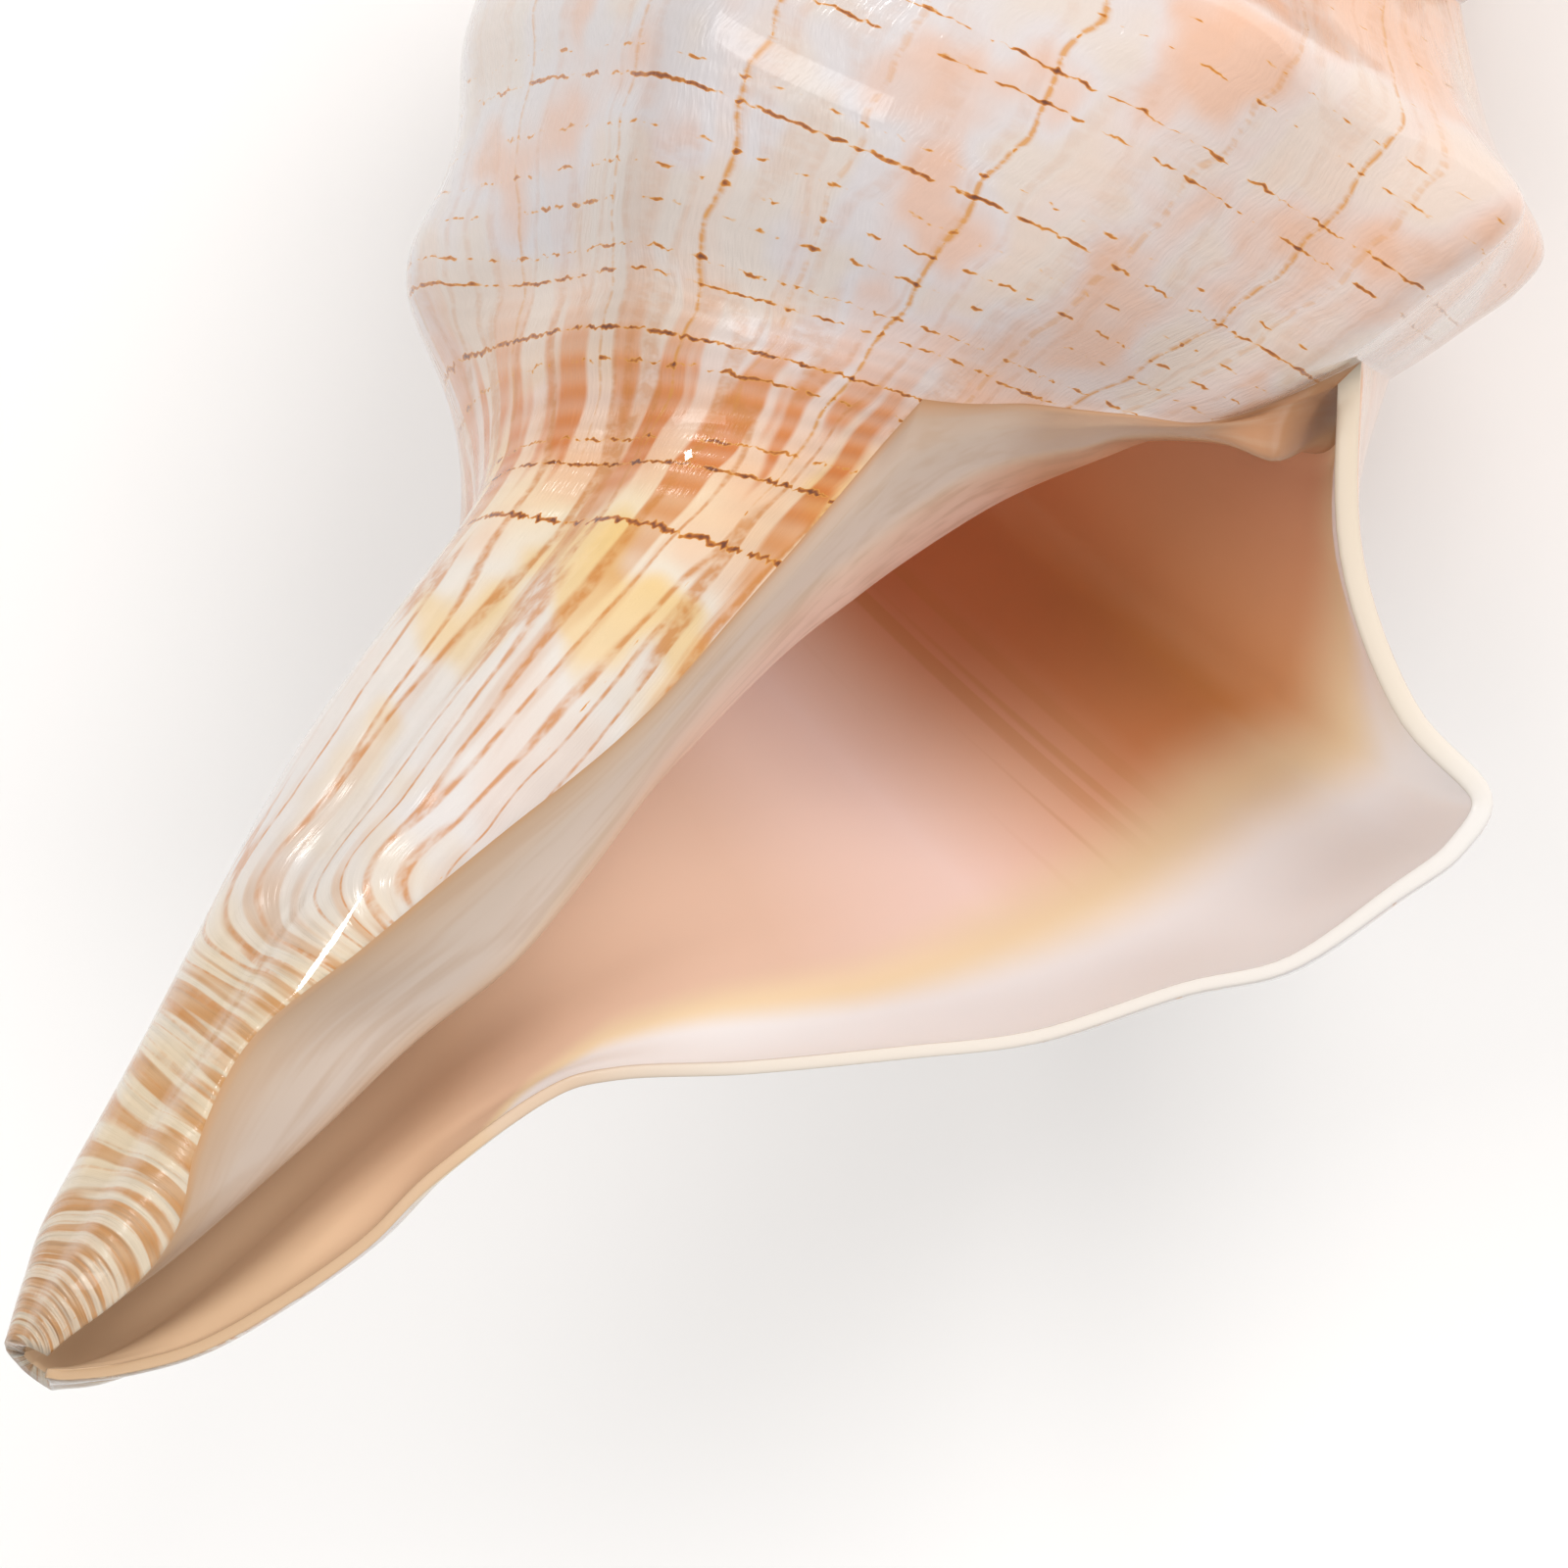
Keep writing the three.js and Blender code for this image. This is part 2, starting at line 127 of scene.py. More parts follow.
# Columella, its right edge and its back inside the mouth: place, X, Y, depth.
COLUMELLA_EDGE = [
    (0, 25.7, 3.6, 58.3), (1, 21.7, -10.4, 61.6), (2, 16.9, -10.8, 64.4), (5, 11.8, -11.0, 69.0),
    (8, 7.4, -10.7, 74.7), (10, 5.2, -8.7, 80.7), (12, 3.8, -7.4, 88.0), (13, 3.0, -6.5, 96.0),
    (14, 2.9, -5.5, 105.0), (15, 2.4, -5.2, 113.0), (16, 0.3, -4.6, 120.5),
    (17, -1.2, -2.6, 130.0), (18, -3.5, -1.4, 140.0), (19, -6.6, -0.6, 148.6),
]
COLUMELLA_BACK = [
    (0, 11.0, 20.7, 54.3), (2, 14.0, 12.0, 58.5), (5, 11.0, 8.0, 66.0), (8, 8.0, 8.0, 74.0),
    (10, 5.5, 7.5, 82.0), (12, 3.6, 6.5, 91.0), (13, 2.5, 5.5, 99.0), (14, 1.0, 5.0, 109.0),
    (15, -1.5, 4.6, 118.0), (16, -3.0, 4.2, 126.0), (17, -4.2, 3.4, 134.0),
    (18, -5.8, 2.2, 142.0), (19, -7.2, 0.6, 149.0),
]
# Thickness of the wall at the lip (place, mm), deep in the mouth and at the tip.
LIP_WALL = [(0, 1.4), (2.5, 1.4), (4, 1.2), (6, 0.9), (10, 0.8), (19, 0.7)]
DEEP_WALL, TIP_WALL = 2.6, 1.0
NOTCH_TOP, INNER_TOP = 0.12, 0.6
print(len(KNOBS), "knobs down the spire")

# %% [markdown]
# Reading the tables
#
# A table holds only the few points that a form needs. A smooth curve runs through them, as a
# bent strip of wood would, so one number can be changed and the whole form follows. The law of
# growth is then one function, which gives the point of the outside at any place and turn.


# %% Small tools for curves
def mix(a, b, share):
    """From a to b by a share of the way."""
    return a + (b - a) * share


def ease(start, end, x):
    """From 0 at start to 1 at end, gently at both ends."""
    u = np.clip((x - start) / (end - start), 0, 1)
    return u * u * (3 - 2 * u)


def through(rows, x):
    """A smooth curve through keyed rows (key, value, ...), read at an array of keys."""
    rows = np.array(rows, float)
    x = np.atleast_1d(np.asarray(x, float))
    keys, values = rows[:, 0], rows[:, 1:]
    steps = np.diff(keys)[:, None]
    rise = np.diff(values, axis=0) / steps
    between = (rise[:-1] * steps[1:] + rise[1:] * steps[:-1]) / (steps[:-1] + steps[1:])
    slope = np.vstack([rise[:1], between, rise[-1:]])
    i = np.clip(np.searchsorted(keys, x, side="right") - 1, 0, len(keys) - 2)
    step = steps[i]
    u = (x - keys[i])[:, None] / step
    gain = values[i + 1] - values[i]
    bend = (1 - u) * (slope[i] * step - gain) - u * (slope[i + 1] * step - gain)
    return values[i] + gain * u + u * (1 - u) * bend


def middle(depth):
    """X of the canal's middle."""
    return through(BEND, depth)[:, 0]


print("at its tip the canal's middle is", round(float(middle(150)[0]), 1), "mm off the axis")

# %% The section of the shell at any turn
whorl = np.array(WHORL)
whorl[0] = through(np.column_stack([np.arange(11), whorl]), SUTURE)[0] / GROWTH_PER_TURN
lip = np.array(LIP)
lip_side = lip[:, 0] - middle(lip[:, 2])
lip_round = np.column_stack([np.hypot(lip_side, lip[:, 1]), lip[:, 2]])
lip_angle = np.arctan2(lip[:, 1], lip_side)
neck_rounds = [
    (CORNER_TURN, *np.ravel(NECK_FRONT)),
    (-0.5, *np.ravel(NECK_LEFT)),
    (-0.25, *np.ravel(NECK_BACK)),
    (0, *lip_round[NECK_TOP:].ravel()),
]


def section(place, turn):
    """Radius, depth and angle ahead, for arrays of places and turns."""
    size = (GROWTH_PER_TURN ** turn)[:, None]
    towards_lip = (0.75 * ease(-0.8, -0.45, turn) + 0.25 * ease(-0.45, 0, turn))[:, None]
    neck = through(neck_rounds, np.clip(turn, CORNER_TURN, 0))
    neck_share = ease(-0.9, CORNER_TURN, turn)
    found = []
    for value in (0, 1):
        upper = size * mix(whorl[:, value], lip_round[: NECK_TOP + 1, value], towards_lip)
        lower = neck[:, value::2]
        upper[:, NECK_TOP] = mix(upper[:, NECK_TOP], lower[:, 0], neck_share)
        found.append(np.hstack([upper, lower[:, 1:]]))
    found.append(ease(-0.3, 0, turn)[:, None] * lip_angle)
    return [along_row(values, place) for values in found]


def along_row(values, place):
    """Each row of values, one per whole place, read at that row's own place."""
    last = values.shape[1] - 1
    i = np.clip(np.floor(place).astype(int), 0, last - 1)
    row = np.arange(len(place))
    u = place - i
    here, there = values[row, i], values[row, i + 1]
    gain = there - here
    before = np.where(i > 0, (there - values[row, np.maximum(i - 1, 0)]) / 2, gain)
    after = np.where(i + 2 <= last, (values[row, np.minimum(i + 2, last)] - here) / 2, gain)
    return here + gain * u + u * (1 - u) * ((1 - u) * (before - gain) - u * (after - gain))


print("suture at the lip:", np.round(whorl[0], 1), "radius and depth")


# %% The outside of the shell, with the lip's flare that reaches some way back in turns
KNOB_HOLLOW = 0.35
FLARE_REACH, CANAL_FLARE_REACH = 0.025, 0.075


def outside(place, turn, knob_share=1.0):
    """Points of the outside; between the knobs it is hollowed by a share of their height."""
    place, turn = np.broadcast_arrays(np.asarray(place, float), np.asarray(turn, float))
    radius, depth, ahead = section(place, turn)
    bump = sum(np.exp(-(((turn - knob) / KNOB_WIDTH) ** 2)) for knob in KNOBS)
    fade = 1 - ease(-0.06, 0, turn)
    knob = KNOB_HEIGHT * GROWTH_PER_TURN**turn
    rib = through(RIB, place)[:, 0] * knob * (bump - KNOB_HOLLOW) * fade
    sharp = np.exp(-(((turn - SHARP_KNOB) / SHARP_WIDTH) ** 2))
    rib = rib + through(RIB, place)[:, 0] * SHARP_HEIGHT * sharp
    aside = ((turn - SWELLING_TURN) / 0.05) ** 2 + (place - SWELLING_PLACE) ** 2
    r = radius + knob_share * (rib + SWELLING_HEIGHT * np.exp(-aside))
    reach = mix(FLARE_REACH, CANAL_FLARE_REACH, ease(11, 15, place))
    behind_lip = ease(0, 1, -turn / reach) * (1 - ease(-0.1, -0.3, turn))
    r = r - through(LIP_FLARE, place)[:, 0] * behind_lip
    angle = ahead - 2 * math.pi * turn
    return np.column_stack([r * np.cos(angle) + middle(depth), r * np.sin(angle), -depth])


def row_end(turn):
    """The last place of a row of the outside, and how far the row leans forward there."""
    along = (turn + 1) / (CORNER_TURN + 1)
    callus = through(CALLUS_ABOVE, np.clip(along, 0, 1))[:, 0]
    place = np.where(turn <= -1, SUTURE, np.where(turn >= CORNER_TURN, NECK_TOP, callus))
    lean = np.where(turn <= -1, ease(-0.3, 0, turn + 1), np.clip(1 - along, 0, 1))
    return place, LIP_FORWARD * lean


APEX = np.array([0, 0, -whorl[0, 1] * GROWTH_PER_TURN ** (FIRST_TURN + 1) * 0.6])


def grown(points, turn):
    """The first whorl shrinks to the apex."""
    share = np.maximum(0, FIRST_TURN + 1 - turn)[:, None]
    return mix(points, APEX, share)


def settled(turn):
    """The rows of the first whorl, which is tiny, are drawn together in steps."""
    step = np.floor((turn - FIRST_TURN) / FIRST_STEP + 1e-6) * FIRST_STEP + FIRST_TURN
    return np.where(turn < FIRST_TURN + 1 - 1e-6, step, turn)


def end_of(turn):
    """The last point of a row."""
    turn = settled(turn)
    place, forward = row_end(turn)
    return grown(outside(place, turn + forward), turn)


def start_of(turn):
    """The first point of a row, which is the end of the row one whorl earlier."""
    before = np.maximum(turn - 1, FIRST_TURN)
    return np.where((turn - 1 > FIRST_TURN + 1e-6)[:, None], end_of(before), APEX)


def skin(place, turn, row_turn, knob_share=1.0):
    """The outside with its top edge laid onto the whorl before it."""
    place, turn, row_turn = np.broadcast_arrays(place, turn, row_turn)
    points = grown(outside(place, turn, knob_share), row_turn)
    near = (np.maximum(0, 1 - place / 2) ** 2)[:, None]
    gap = start_of(row_turn) - grown(outside(np.zeros(len(place)), row_turn), row_turn)
    return points + near * gap


print("apex", np.round(APEX, 2), "lip shoulder", np.round(outside([3.0], [0.0]), 1))

# %% [markdown]
# From the snail's frame to the table
#
# The shell lies on its back on two shoulder knobs and a knob of the spire. The solid gives that
# pose, and the piece takes the same turn and shift, so that it sits exactly where the solid is.
# Where the knobs touch the table they are worn flat, which here is a floor under every height.

# %% The rest pose
UP_AT_REST = np.array([0.1005, -0.8618, -0.4972])
CENTRE_AT_REST = np.array([-66.7854, -5.4579, -3.0966])

up = UP_AT_REST / np.linalg.norm(UP_AT_REST)
along = np.array([0, 0, 1]) - up[2] * up
along /= np.linalg.norm(along)
TURN_TO_REST = np.array([along, np.cross(up, along), up])


def at_rest(points):
    """Millimetres in the shell's own frame to metres on the table."""
    placed = (points @ TURN_TO_REST.T - CENTRE_AT_REST) / 1000
    placed[:, 2] = np.maximum(placed[:, 2], 0)
    return placed


print("the apex lies", np.round(1000 * at_rest(np.zeros((1, 3)))[0], 1), "mm from the origin")

# %% [markdown]
# Camera
#
# The photograph is a close view from above with a long lens: parallel edges stay parallel and the
# canal points to the lower left. The camera looks along a fixed direction of the shell's own
# frame, and is rolled about its view by the angle that the axis has in the picture.

# %% Camera
FRAME_WIDTH = 95.2
CAMERA_DISTANCE = 1200
SENSOR_WIDTH = 36
LOOK_AT = np.array([9.5, 0, -94.0])
TILT = math.radians(8.05)
ROLL = math.radians(36.1)

view = np.array([0, math.cos(TILT), math.sin(TILT)])
spire_up = np.array([0, -math.sin(TILT), math.cos(TILT)])
camera_right = np.array([math.cos(ROLL), 0, 0]) + math.sin(ROLL) * spire_up
camera_up = np.array([-math.sin(ROLL), 0, 0]) + math.cos(ROLL) * spire_up
camera_axes = TURN_TO_REST @ np.column_stack([camera_right, camera_up, -view])


def from_camera(right, above, near):
    """A place given in millimetres from the middle of the picture, in the table's frame."""
    offset = right * camera_right + above * camera_up - near * view
    return ((LOOK_AT + offset) @ TURN_TO_REST.T - CENTRE_AT_REST) / 1000


bpy.ops.object.select_all(action="DESELECT")
bpy.ops.object.camera_add()
camera = bpy.context.object
camera.name = "camera"
stand = np.eye(4)
stand[:3, :3] = camera_axes
stand[:3, 3] = from_camera(0, 0, CAMERA_DISTANCE)
camera.matrix_world = Matrix(stand.tolist())
camera.data.sensor_width = SENSOR_WIDTH
camera.data.lens = SENSOR_WIDTH * CAMERA_DISTANCE / FRAME_WIDTH
camera.data.clip_start = 0.05
bpy.context.scene.camera = camera
print("camera", [round(x, 3) for x in camera.location], "lens", round(camera.data.lens), "mm")

# %% [markdown]
# The sheets of the shell
#
# A grid primitive is a flat net of rows and columns. Each sheet of the shell is such a grid whose
# vertices are sent to their places by the law of growth: the body, the neck with its canal, the
# inner side of the wall and the columella. Their borders hold the very same points, so merging
# doubles closes them into one skin. The grid's UV map keeps turn and place for the markings.

# %% Counts of the net
BODY_COLUMNS = 66
NECK_COLUMNS = 72
INSIDE_ROWS = 59
NECK_ROWS = 2 * INSIDE_ROWS + 1
MOUTH_ROWS = INSIDE_ROWS + 1
RIM_STEPS = 5
COARSE_BEFORE, COARSE_STEP = -2, 3

last_whorl = np.concatenate([
    np.linspace(-1, CORNER_TURN, BODY_COLUMNS, endpoint=False),
    np.linspace(CORNER_TURN, 0, NECK_ROWS, endpoint=False),
])
row_turns = np.concatenate([last_whorl + w for w in range(FIRST_TURN + 1, 1)] + [[0.0]])
row_turns = settled(row_turns)
neck_places = np.linspace(NECK_TOP, TIP, NECK_COLUMNS + 1)
print(len(row_turns), "rows of growth from the apex to the lip")


# %% One sheet: a grid primitive sent to its points
def sheet(name, points, turns, places):
    """points is rows x columns x 3 in mm; turns and places go to the UV map."""
    rows, columns = points.shape[:2]
    bpy.ops.object.select_all(action="DESELECT")
    bpy.ops.mesh.primitive_grid_add(x_subdivisions=columns - 1, y_subdivisions=rows - 1, size=2)
    piece = bpy.context.object
    piece.name = name
    flat = np.empty(len(piece.data.vertices) * 3)
    piece.data.vertices.foreach_get("co", flat)
    flat = flat.reshape(-1, 3)
    column = np.rint((flat[:, 0] + 1) / 2 * (columns - 1)).astype(int)
    row = np.rint((flat[:, 1] + 1) / 2 * (rows - 1)).astype(int)
    piece.data.vertices.foreach_set("co", at_rest(points[row, column]).ravel())
    corner = np.empty(len(piece.data.loops), int)
    piece.data.loops.foreach_get("vertex_index", corner)
    growth = np.dstack([turns, places])[row[corner], column[corner]]
    layer = piece.data.uv_layers[0]
    layer.name = "growth"
    layer.uv.foreach_set("vector", growth.astype(np.float32).ravel())
    print(name, rows, "x", columns)
    return piece


# %% [markdown]
# Outside
#
# The body whorl and the spire are one long strip that the animal rolled up. The strip's upper edge
# lies on the whorl before it, which is the suture seen as a line round the spire. Spinning a curve
# gives a round pot without that step, so the strip is laid row by row. The neck and the canal hang
# below the last whorl as a second strip, open along the mouth.

# %% Body and spire
def lay(function, *grids):
    """Calls a point function on grids of numbers and gives a grid of points."""
    grids = np.broadcast_arrays(*grids)
    return function(*[grid.ravel() for grid in grids]).reshape(*grids[0].shape, 3)


columns = np.tile(np.arange(BODY_COLUMNS + 1), (len(row_turns), 1))
early = row_turns < COARSE_BEFORE
columns[early] -= columns[early] % COARSE_STEP
ends, leans = row_end(row_turns)
body_places = columns / BODY_COLUMNS * ends[:, None]
lean_share = np.minimum(1, body_places / SUTURE) ** 2
body_turns = row_turns[:, None] + leans[:, None] * lean_share
row_grid = np.broadcast_to(row_turns[:, None], columns.shape)
body_points = lay(skin, body_places, body_turns, row_grid)
body_points[:, 0] = start_of(row_turns)
body = sheet("body", body_points, body_turns, body_places)

# %% Neck and canal, from the callus edge round the back to the lip
callus_turns = through(CALLUS_DOWN, neck_places)[:, 0]
neck_share = np.linspace(0, 1, NECK_ROWS + 1)[:, None]
neck_turns = mix(callus_turns, 0, neck_share)
neck_grid = np.broadcast_to(neck_places, neck_turns.shape)
neck_points = lay(outside, neck_grid, neck_turns)
neck = sheet("neck", neck_points, neck_turns, neck_grid)


# %% [markdown]
# Inside
#
# The wall is thin at the lip and thicker deep in the mouth, where layers were added from inside.
# A Solidify modifier would give one thickness all round and copy every knob inwards. So the inner
# side follows the outside with low knobs and soft corners, moved in by the wall's own thickness.
# The lip between the two sides is a small round, because a sharp edge would catch no light.

# %% Inner side of the outer wall
INSIDE_KNOBS = 0.3
CORNER_REACH = 1.2


def smooth_skin(place, turn, soft):
    """The outside with low knobs, and its corners rounded off where soft is 1."""
    points = skin(place, turn, turn, INSIDE_KNOBS)
    reach = np.clip(np.minimum(place, TIP - place), 0, CORNER_REACH)
    above = skin(place - reach, turn, turn, INSIDE_KNOBS)
    below = skin(place + reach, turn, turn, INSIDE_KNOBS)
    return mix(points, points / 2 + (above + below) / 4, soft[:, None])


def inside(place, turn, wall, soft):
    """The smooth outside, moved in by the wall."""
    points = smooth_skin(place, turn, soft)
    lower = smooth_skin(np.minimum(place + 0.05, TIP), turn, soft)
    down = lower - smooth_skin(place - 0.05, turn, soft)
    on = points - smooth_skin(place, turn - 0.004, soft)
    across = np.cross(on, down)
    return points - wall[:, None] * across / np.linalg.norm(across, axis=1, keepdims=True)


columella_places = np.concatenate([
    np.linspace(0, NECK_TOP, BODY_COLUMNS, endpoint=False),
    neck_places,
])
depth_in = np.arange(INSIDE_ROWS + 1)[:, None] / INSIDE_ROWS
inner_turns = mix(CORNER_TURN, 0, 1 - depth_in * INSIDE_ROWS / NECK_ROWS)
inner_turn_grid = np.tile(inner_turns, len(columella_places))
top = mix(NOTCH_TOP, INNER_TOP, ease(0, 0.3, depth_in))
inner_grid = np.maximum(columella_places, 0) + top * np.maximum(0, 1 - columella_places / NECK_TOP)
lip_wall = through(LIP_WALL, inner_grid.ravel()).reshape(inner_grid.shape)
thick = mix(lip_wall, DEEP_WALL, ease(0, 0.35, depth_in))
wall = mix(thick, np.minimum(thick, TIP_WALL), ease(14, TIP, inner_grid))
soft = np.broadcast_to(ease(0, 0.25, depth_in), inner_grid.shape)
inner_points = lay(inside, inner_grid, inner_turn_grid, wall, soft)
# The deepest corner closes on one point.
inner_points[-1, 0] = inner_points[-2, 0]
print("the wall is", LIP_WALL[-1][1], "to", DEEP_WALL, "mm thick")

# %% The lip's rounded edge joins the two sides
lip_outer = np.vstack([body_points[-1, :-1], neck_points[-1]])
lip_inner = inner_points[0]
forward = lip_outer - np.vstack([body_points[-2, :-1], neck_points[-2]])
forward /= np.linalg.norm(forward, axis=1, keepdims=True)
half = (lip_outer - lip_inner) / 2
round_out = 0.3 * np.linalg.norm(half, axis=1, keepdims=True)
rim_rows = []
for angle in np.linspace(0, math.pi, RIM_STEPS + 2)[1:-1]:
    edge = lip_inner + half + half * math.cos(angle) + forward * round_out * math.sin(angle)
    edge[[0, -1]] = lip_inner[[0, -1]]
    rim_rows.append(edge)
wall_points = np.concatenate([[lip_outer], rim_rows, inner_points])
wall_turns = np.vstack([np.zeros((RIM_STEPS + 1, len(columella_places))), inner_turn_grid])
wall_places = np.vstack([np.tile(inner_grid[0], (RIM_STEPS + 1, 1)), inner_grid])
inner_wall = sheet("inner_wall", wall_points, wall_turns, wall_places)

# %% [markdown]
# Columella
#
# The columella is the pillar that the whorls turn about, and the callus is the glaze spread over
# it and over the whorl beside the mouth. Its sheet starts at the callus's edge, swells over the
# face, turns round the pillar's right edge and runs back into the mouth to meet the inner wall.

# %% Columella and callus, from the callus edge round into the mouth
first_row = len(row_turns) - 1 - NECK_ROWS - BODY_COLUMNS
callus_edge = np.vstack([body_points[first_row : first_row + BODY_COLUMNS, -1], neck_points[0]])
edge = through(COLUMELLA_EDGE, columella_places) * (1, 1, -1)
back = through(COLUMELLA_BACK, columella_places) * (1, 1, -1)
face = (callus_edge + edge) / 2
face[:, 1] -= CALLUS_BULGE * (1 - ease(13, 17, columella_places))
deep_end = inner_points[-1]
across = np.linspace(0, 1, MOUTH_ROWS + 1)
columella_points = np.array([
    through([(0, *a), (0.12, *b), (0.25, *c), (0.55, *d), (1, *e)], across)
    for a, b, c, d, e in zip(callus_edge, face, edge, back, deep_end)
])
# The top of it runs along the corner under the suture.
top_gap = inner_points[:, 0] - columella_points[0, 1:]
top_share = np.maximum(0, 1 - columella_places / 3)[:, None, None] ** 2
columella_points[:, 1:-1] += top_share * top_gap[:-1]
columella_points[0, -1] = inner_points[-1, 0]
# A small tooth stands on it below the suture.
tooth_across = np.exp(-(((across - TOOTH_ACROSS) / 0.06) ** 2)) * ease(0, 0.1, across)
tooth_down = np.exp(-(((columella_places - TOOTH_PLACE) / 0.45) ** 2))
tooth_down *= ease(0, 0.6, columella_places)
tooth = TOOTH_HEIGHT * np.outer(tooth_down, tooth_across)
columella_points += tooth[:, :, None] * (-camera_up - 0.5 * view)
columella_grid = np.broadcast_to(columella_places[:, None], columella_points.shape[:2])
across_grid = np.broadcast_to(across, columella_grid.shape)
columella = sheet("columella", columella_points, across_grid, columella_grid)

# %% Rim of the canal's end
rim_inner = np.vstack([columella_points[-1], inner_points[-2::-1, -1]])
rim_points = np.array([rim_inner, neck_points[:, -1]])
rim_turns = np.vstack([neck_turns[:, -1], neck_turns[:, -1]])
rim = sheet("canal_rim", rim_points, rim_turns, np.full(rim_turns.shape, float(TIP)))

# %% [markdown]
# Colour
#
# Colours are picked as sRGB hex values, as any paint program shows them. Blender's shaders count
# in linear light, so one function turns them round. One more small function adds a node, sets its
# values and links its inputs, which keeps each finish readable from top to bottom.


# %% Helpers for the finishes
def linear(colour):
    """An sRGB hex colour as linear light with alpha."""
    parts = [int(colour[i : i + 2], 16) / 255 for i in (1, 3, 5)]
    return (*[c / 12.92 if c <= 0.04045 else ((c + 0.055) / 1.055) ** 2.4 for c in parts], 1)


def add(tree, kind, *links, output=0, **settings):
    """Adds a node; links fill its inputs in order, as sockets or plain values; None skips one."""
    node = tree.nodes.new(kind)
    for key, value in settings.items():
        setattr(node, key, value)
    sockets = [s for s in node.inputs if s.enabled]
    for socket, value in zip(sockets, links):
        if isinstance(value, bpy.types.NodeSocket):
            tree.links.new(value, socket)
        elif value is not None:
            socket.default_value = value
    return [s for s in node.outputs if s.enabled][output]


def finish(name):
    """A new material with its node tree and its shader."""
    material = bpy.data.materials.new(name)
    material.use_nodes = True
    return material, material.node_tree, material.node_tree.nodes["Principled BSDF"]


print("pale shell in linear light:", [round(x, 2) for x in linear("#EFE4DE")])

# %% [markdown]
# Outer shell
#
# The outer layer is aragonite, grown as fine as porcelain, so it is glossy. Its markings are a
# diary: the animal's mantle laid brown pigment in narrow spots that make spiral lines as the lip
# moves on, and in pulses that make streaks along the lip. Both are drawn on the growth
# coordinates, so they turn with the whorls as the real ones do.

# %% Where the markings lie
# Spiral lines in pairs: place, and strength, which sets how rarely the line breaks off.
SPIRAL_LINES = [
    (1.2, 0.5), (1.75, 0.55), (2.6, 0.45), (3.6, 0.6), (4.15, 0.65), (5.05, 0.9), (5.5, 0.85),
    (6.72, 0.65), (7.05, 0.95), (7.58, 0.68), (7.98, 0.68), (8.36, 0.75), (8.86, 0.8), (9.18, 0.95),
    (10.02, 1.1), (10.36, 0.8), (11.2, 0.85), (11.57, 1.2), (12.26, 1.15),
]
LINE_HALF_WIDTH = 0.06
# A ramp is only 256 steps fine, so the lines are split over three windows of places.
LINE_WINDOWS = ((0.0, 4.6), (4.6, 9.6), (9.6, 13.0))
# Pulses of pigment along the lip: turn, and strength.
PIGMENT_PULSES = [
    (-0.865, 0.5), (-0.845, 0.9), (-0.793, 0.6), (-0.736, 1.0), (-0.69, 0.5), (-0.647, 0.9),
    (-0.6, 0.5), (-0.53, 0.6),
]
PULSE_HALF_WIDTH = 0.002
# The pulses repeat after this many turns, so that each ramp stays fine.
PULSE_START, PULSE_REPEAT = -0.9, 0.4
# The streaks run down the canal, and from here bend over and cross its lower end.
CROSSING = (14.3, 15.5)
# Ramps along the outline run from place 0 to this place.
RAMP_PLACES = 20.0


def ramp(tree, value, stops):
    """A colour ramp with stops (position, colour or grey) over the value."""
    socket = add(tree, "ShaderNodeValToRGB", value)
    elements = socket.node.color_ramp.elements
    while len(elements) < len(stops):
        elements.new(0.5)
    for element, (position, colour) in zip(elements, sorted(stops, key=lambda s: s[0])):
        element.position = position
        element.color = linear(colour) if isinstance(colour, str) else (colour, colour, colour, 1)
    return socket


def peaks(rows, half_width, low, high):
    """Stops that rise to each row's strength at its place and fall to nothing beside it."""
    stops = [(0, 0.0), (1, 0.0)]
    for place, strength in rows:
        for aside, share in ((-half_width, 0), (0, strength), (half_width, 0)):
            stops.append(((place + aside - low) / (high - low), share))
    return stops


print(len(SPIRAL_LINES), "spiral lines and", len(PIGMENT_PULSES), "strong pulses")

# %% Real sizes of the patterns in millimetres
# Once round the body and round the neck, and one place along the outline.
WHORL_AROUND, NECK_AROUND = 2 * math.pi * WHORL[4][0], 2 * math.pi * NECK_LEFT[1][0]
PLACE_LENGTH = 7.0
# Spacing of the neck's flames, the canal's stripes, the thin streaks and the lines' tremble.
FLAME, STRIPE, HAIR, FINE = 4.4, 1.65, 4.63, 0.96
# Dashes of the spiral lines and waves in the growth lines: round the shell, along the outline.
DASH, WAVER = (5.95, 2.0), (28.2, 12.7)
# Growth ridges, striae and spiral cords. Real striae are finer, and are drawn coarser to show.
RIDGE, STRIAE, CORD = 2.6, 0.314, 2.06


def scale(length, spacing):
    """A noise rises and falls about once in two units; two digits are enough for it."""
    return float(f"{2 * length / spacing:.2g}")


FLAMES_PER_TURN = scale(NECK_AROUND, FLAME)
STRIPES_PER_PLACE = scale(PLACE_LENGTH, STRIPE)
CORDS_PER_PLACE = scale(PLACE_LENGTH / 2, CORD)
print("noise scales:", FLAMES_PER_TURN, "a turn and", STRIPES_PER_PLACE, "a place")

# %% Growth coordinates in the shader
MATH, NOISE, RANGE, MIX, VECTOR, XYZ = (
    "ShaderNodeMath", "ShaderNodeTexNoise", "ShaderNodeMapRange", "ShaderNodeMix",
    "ShaderNodeVectorMath", "ShaderNodeCombineXYZ",
)


def growth_coordinates(tree):
    """Turn and place from the UV map."""
    uv = add(tree, "ShaderNodeUVMap", uv_map="growth")
    return add(tree, "ShaderNodeSeparateXYZ", uv), add(tree, "ShaderNodeSeparateXYZ", uv, output=1)


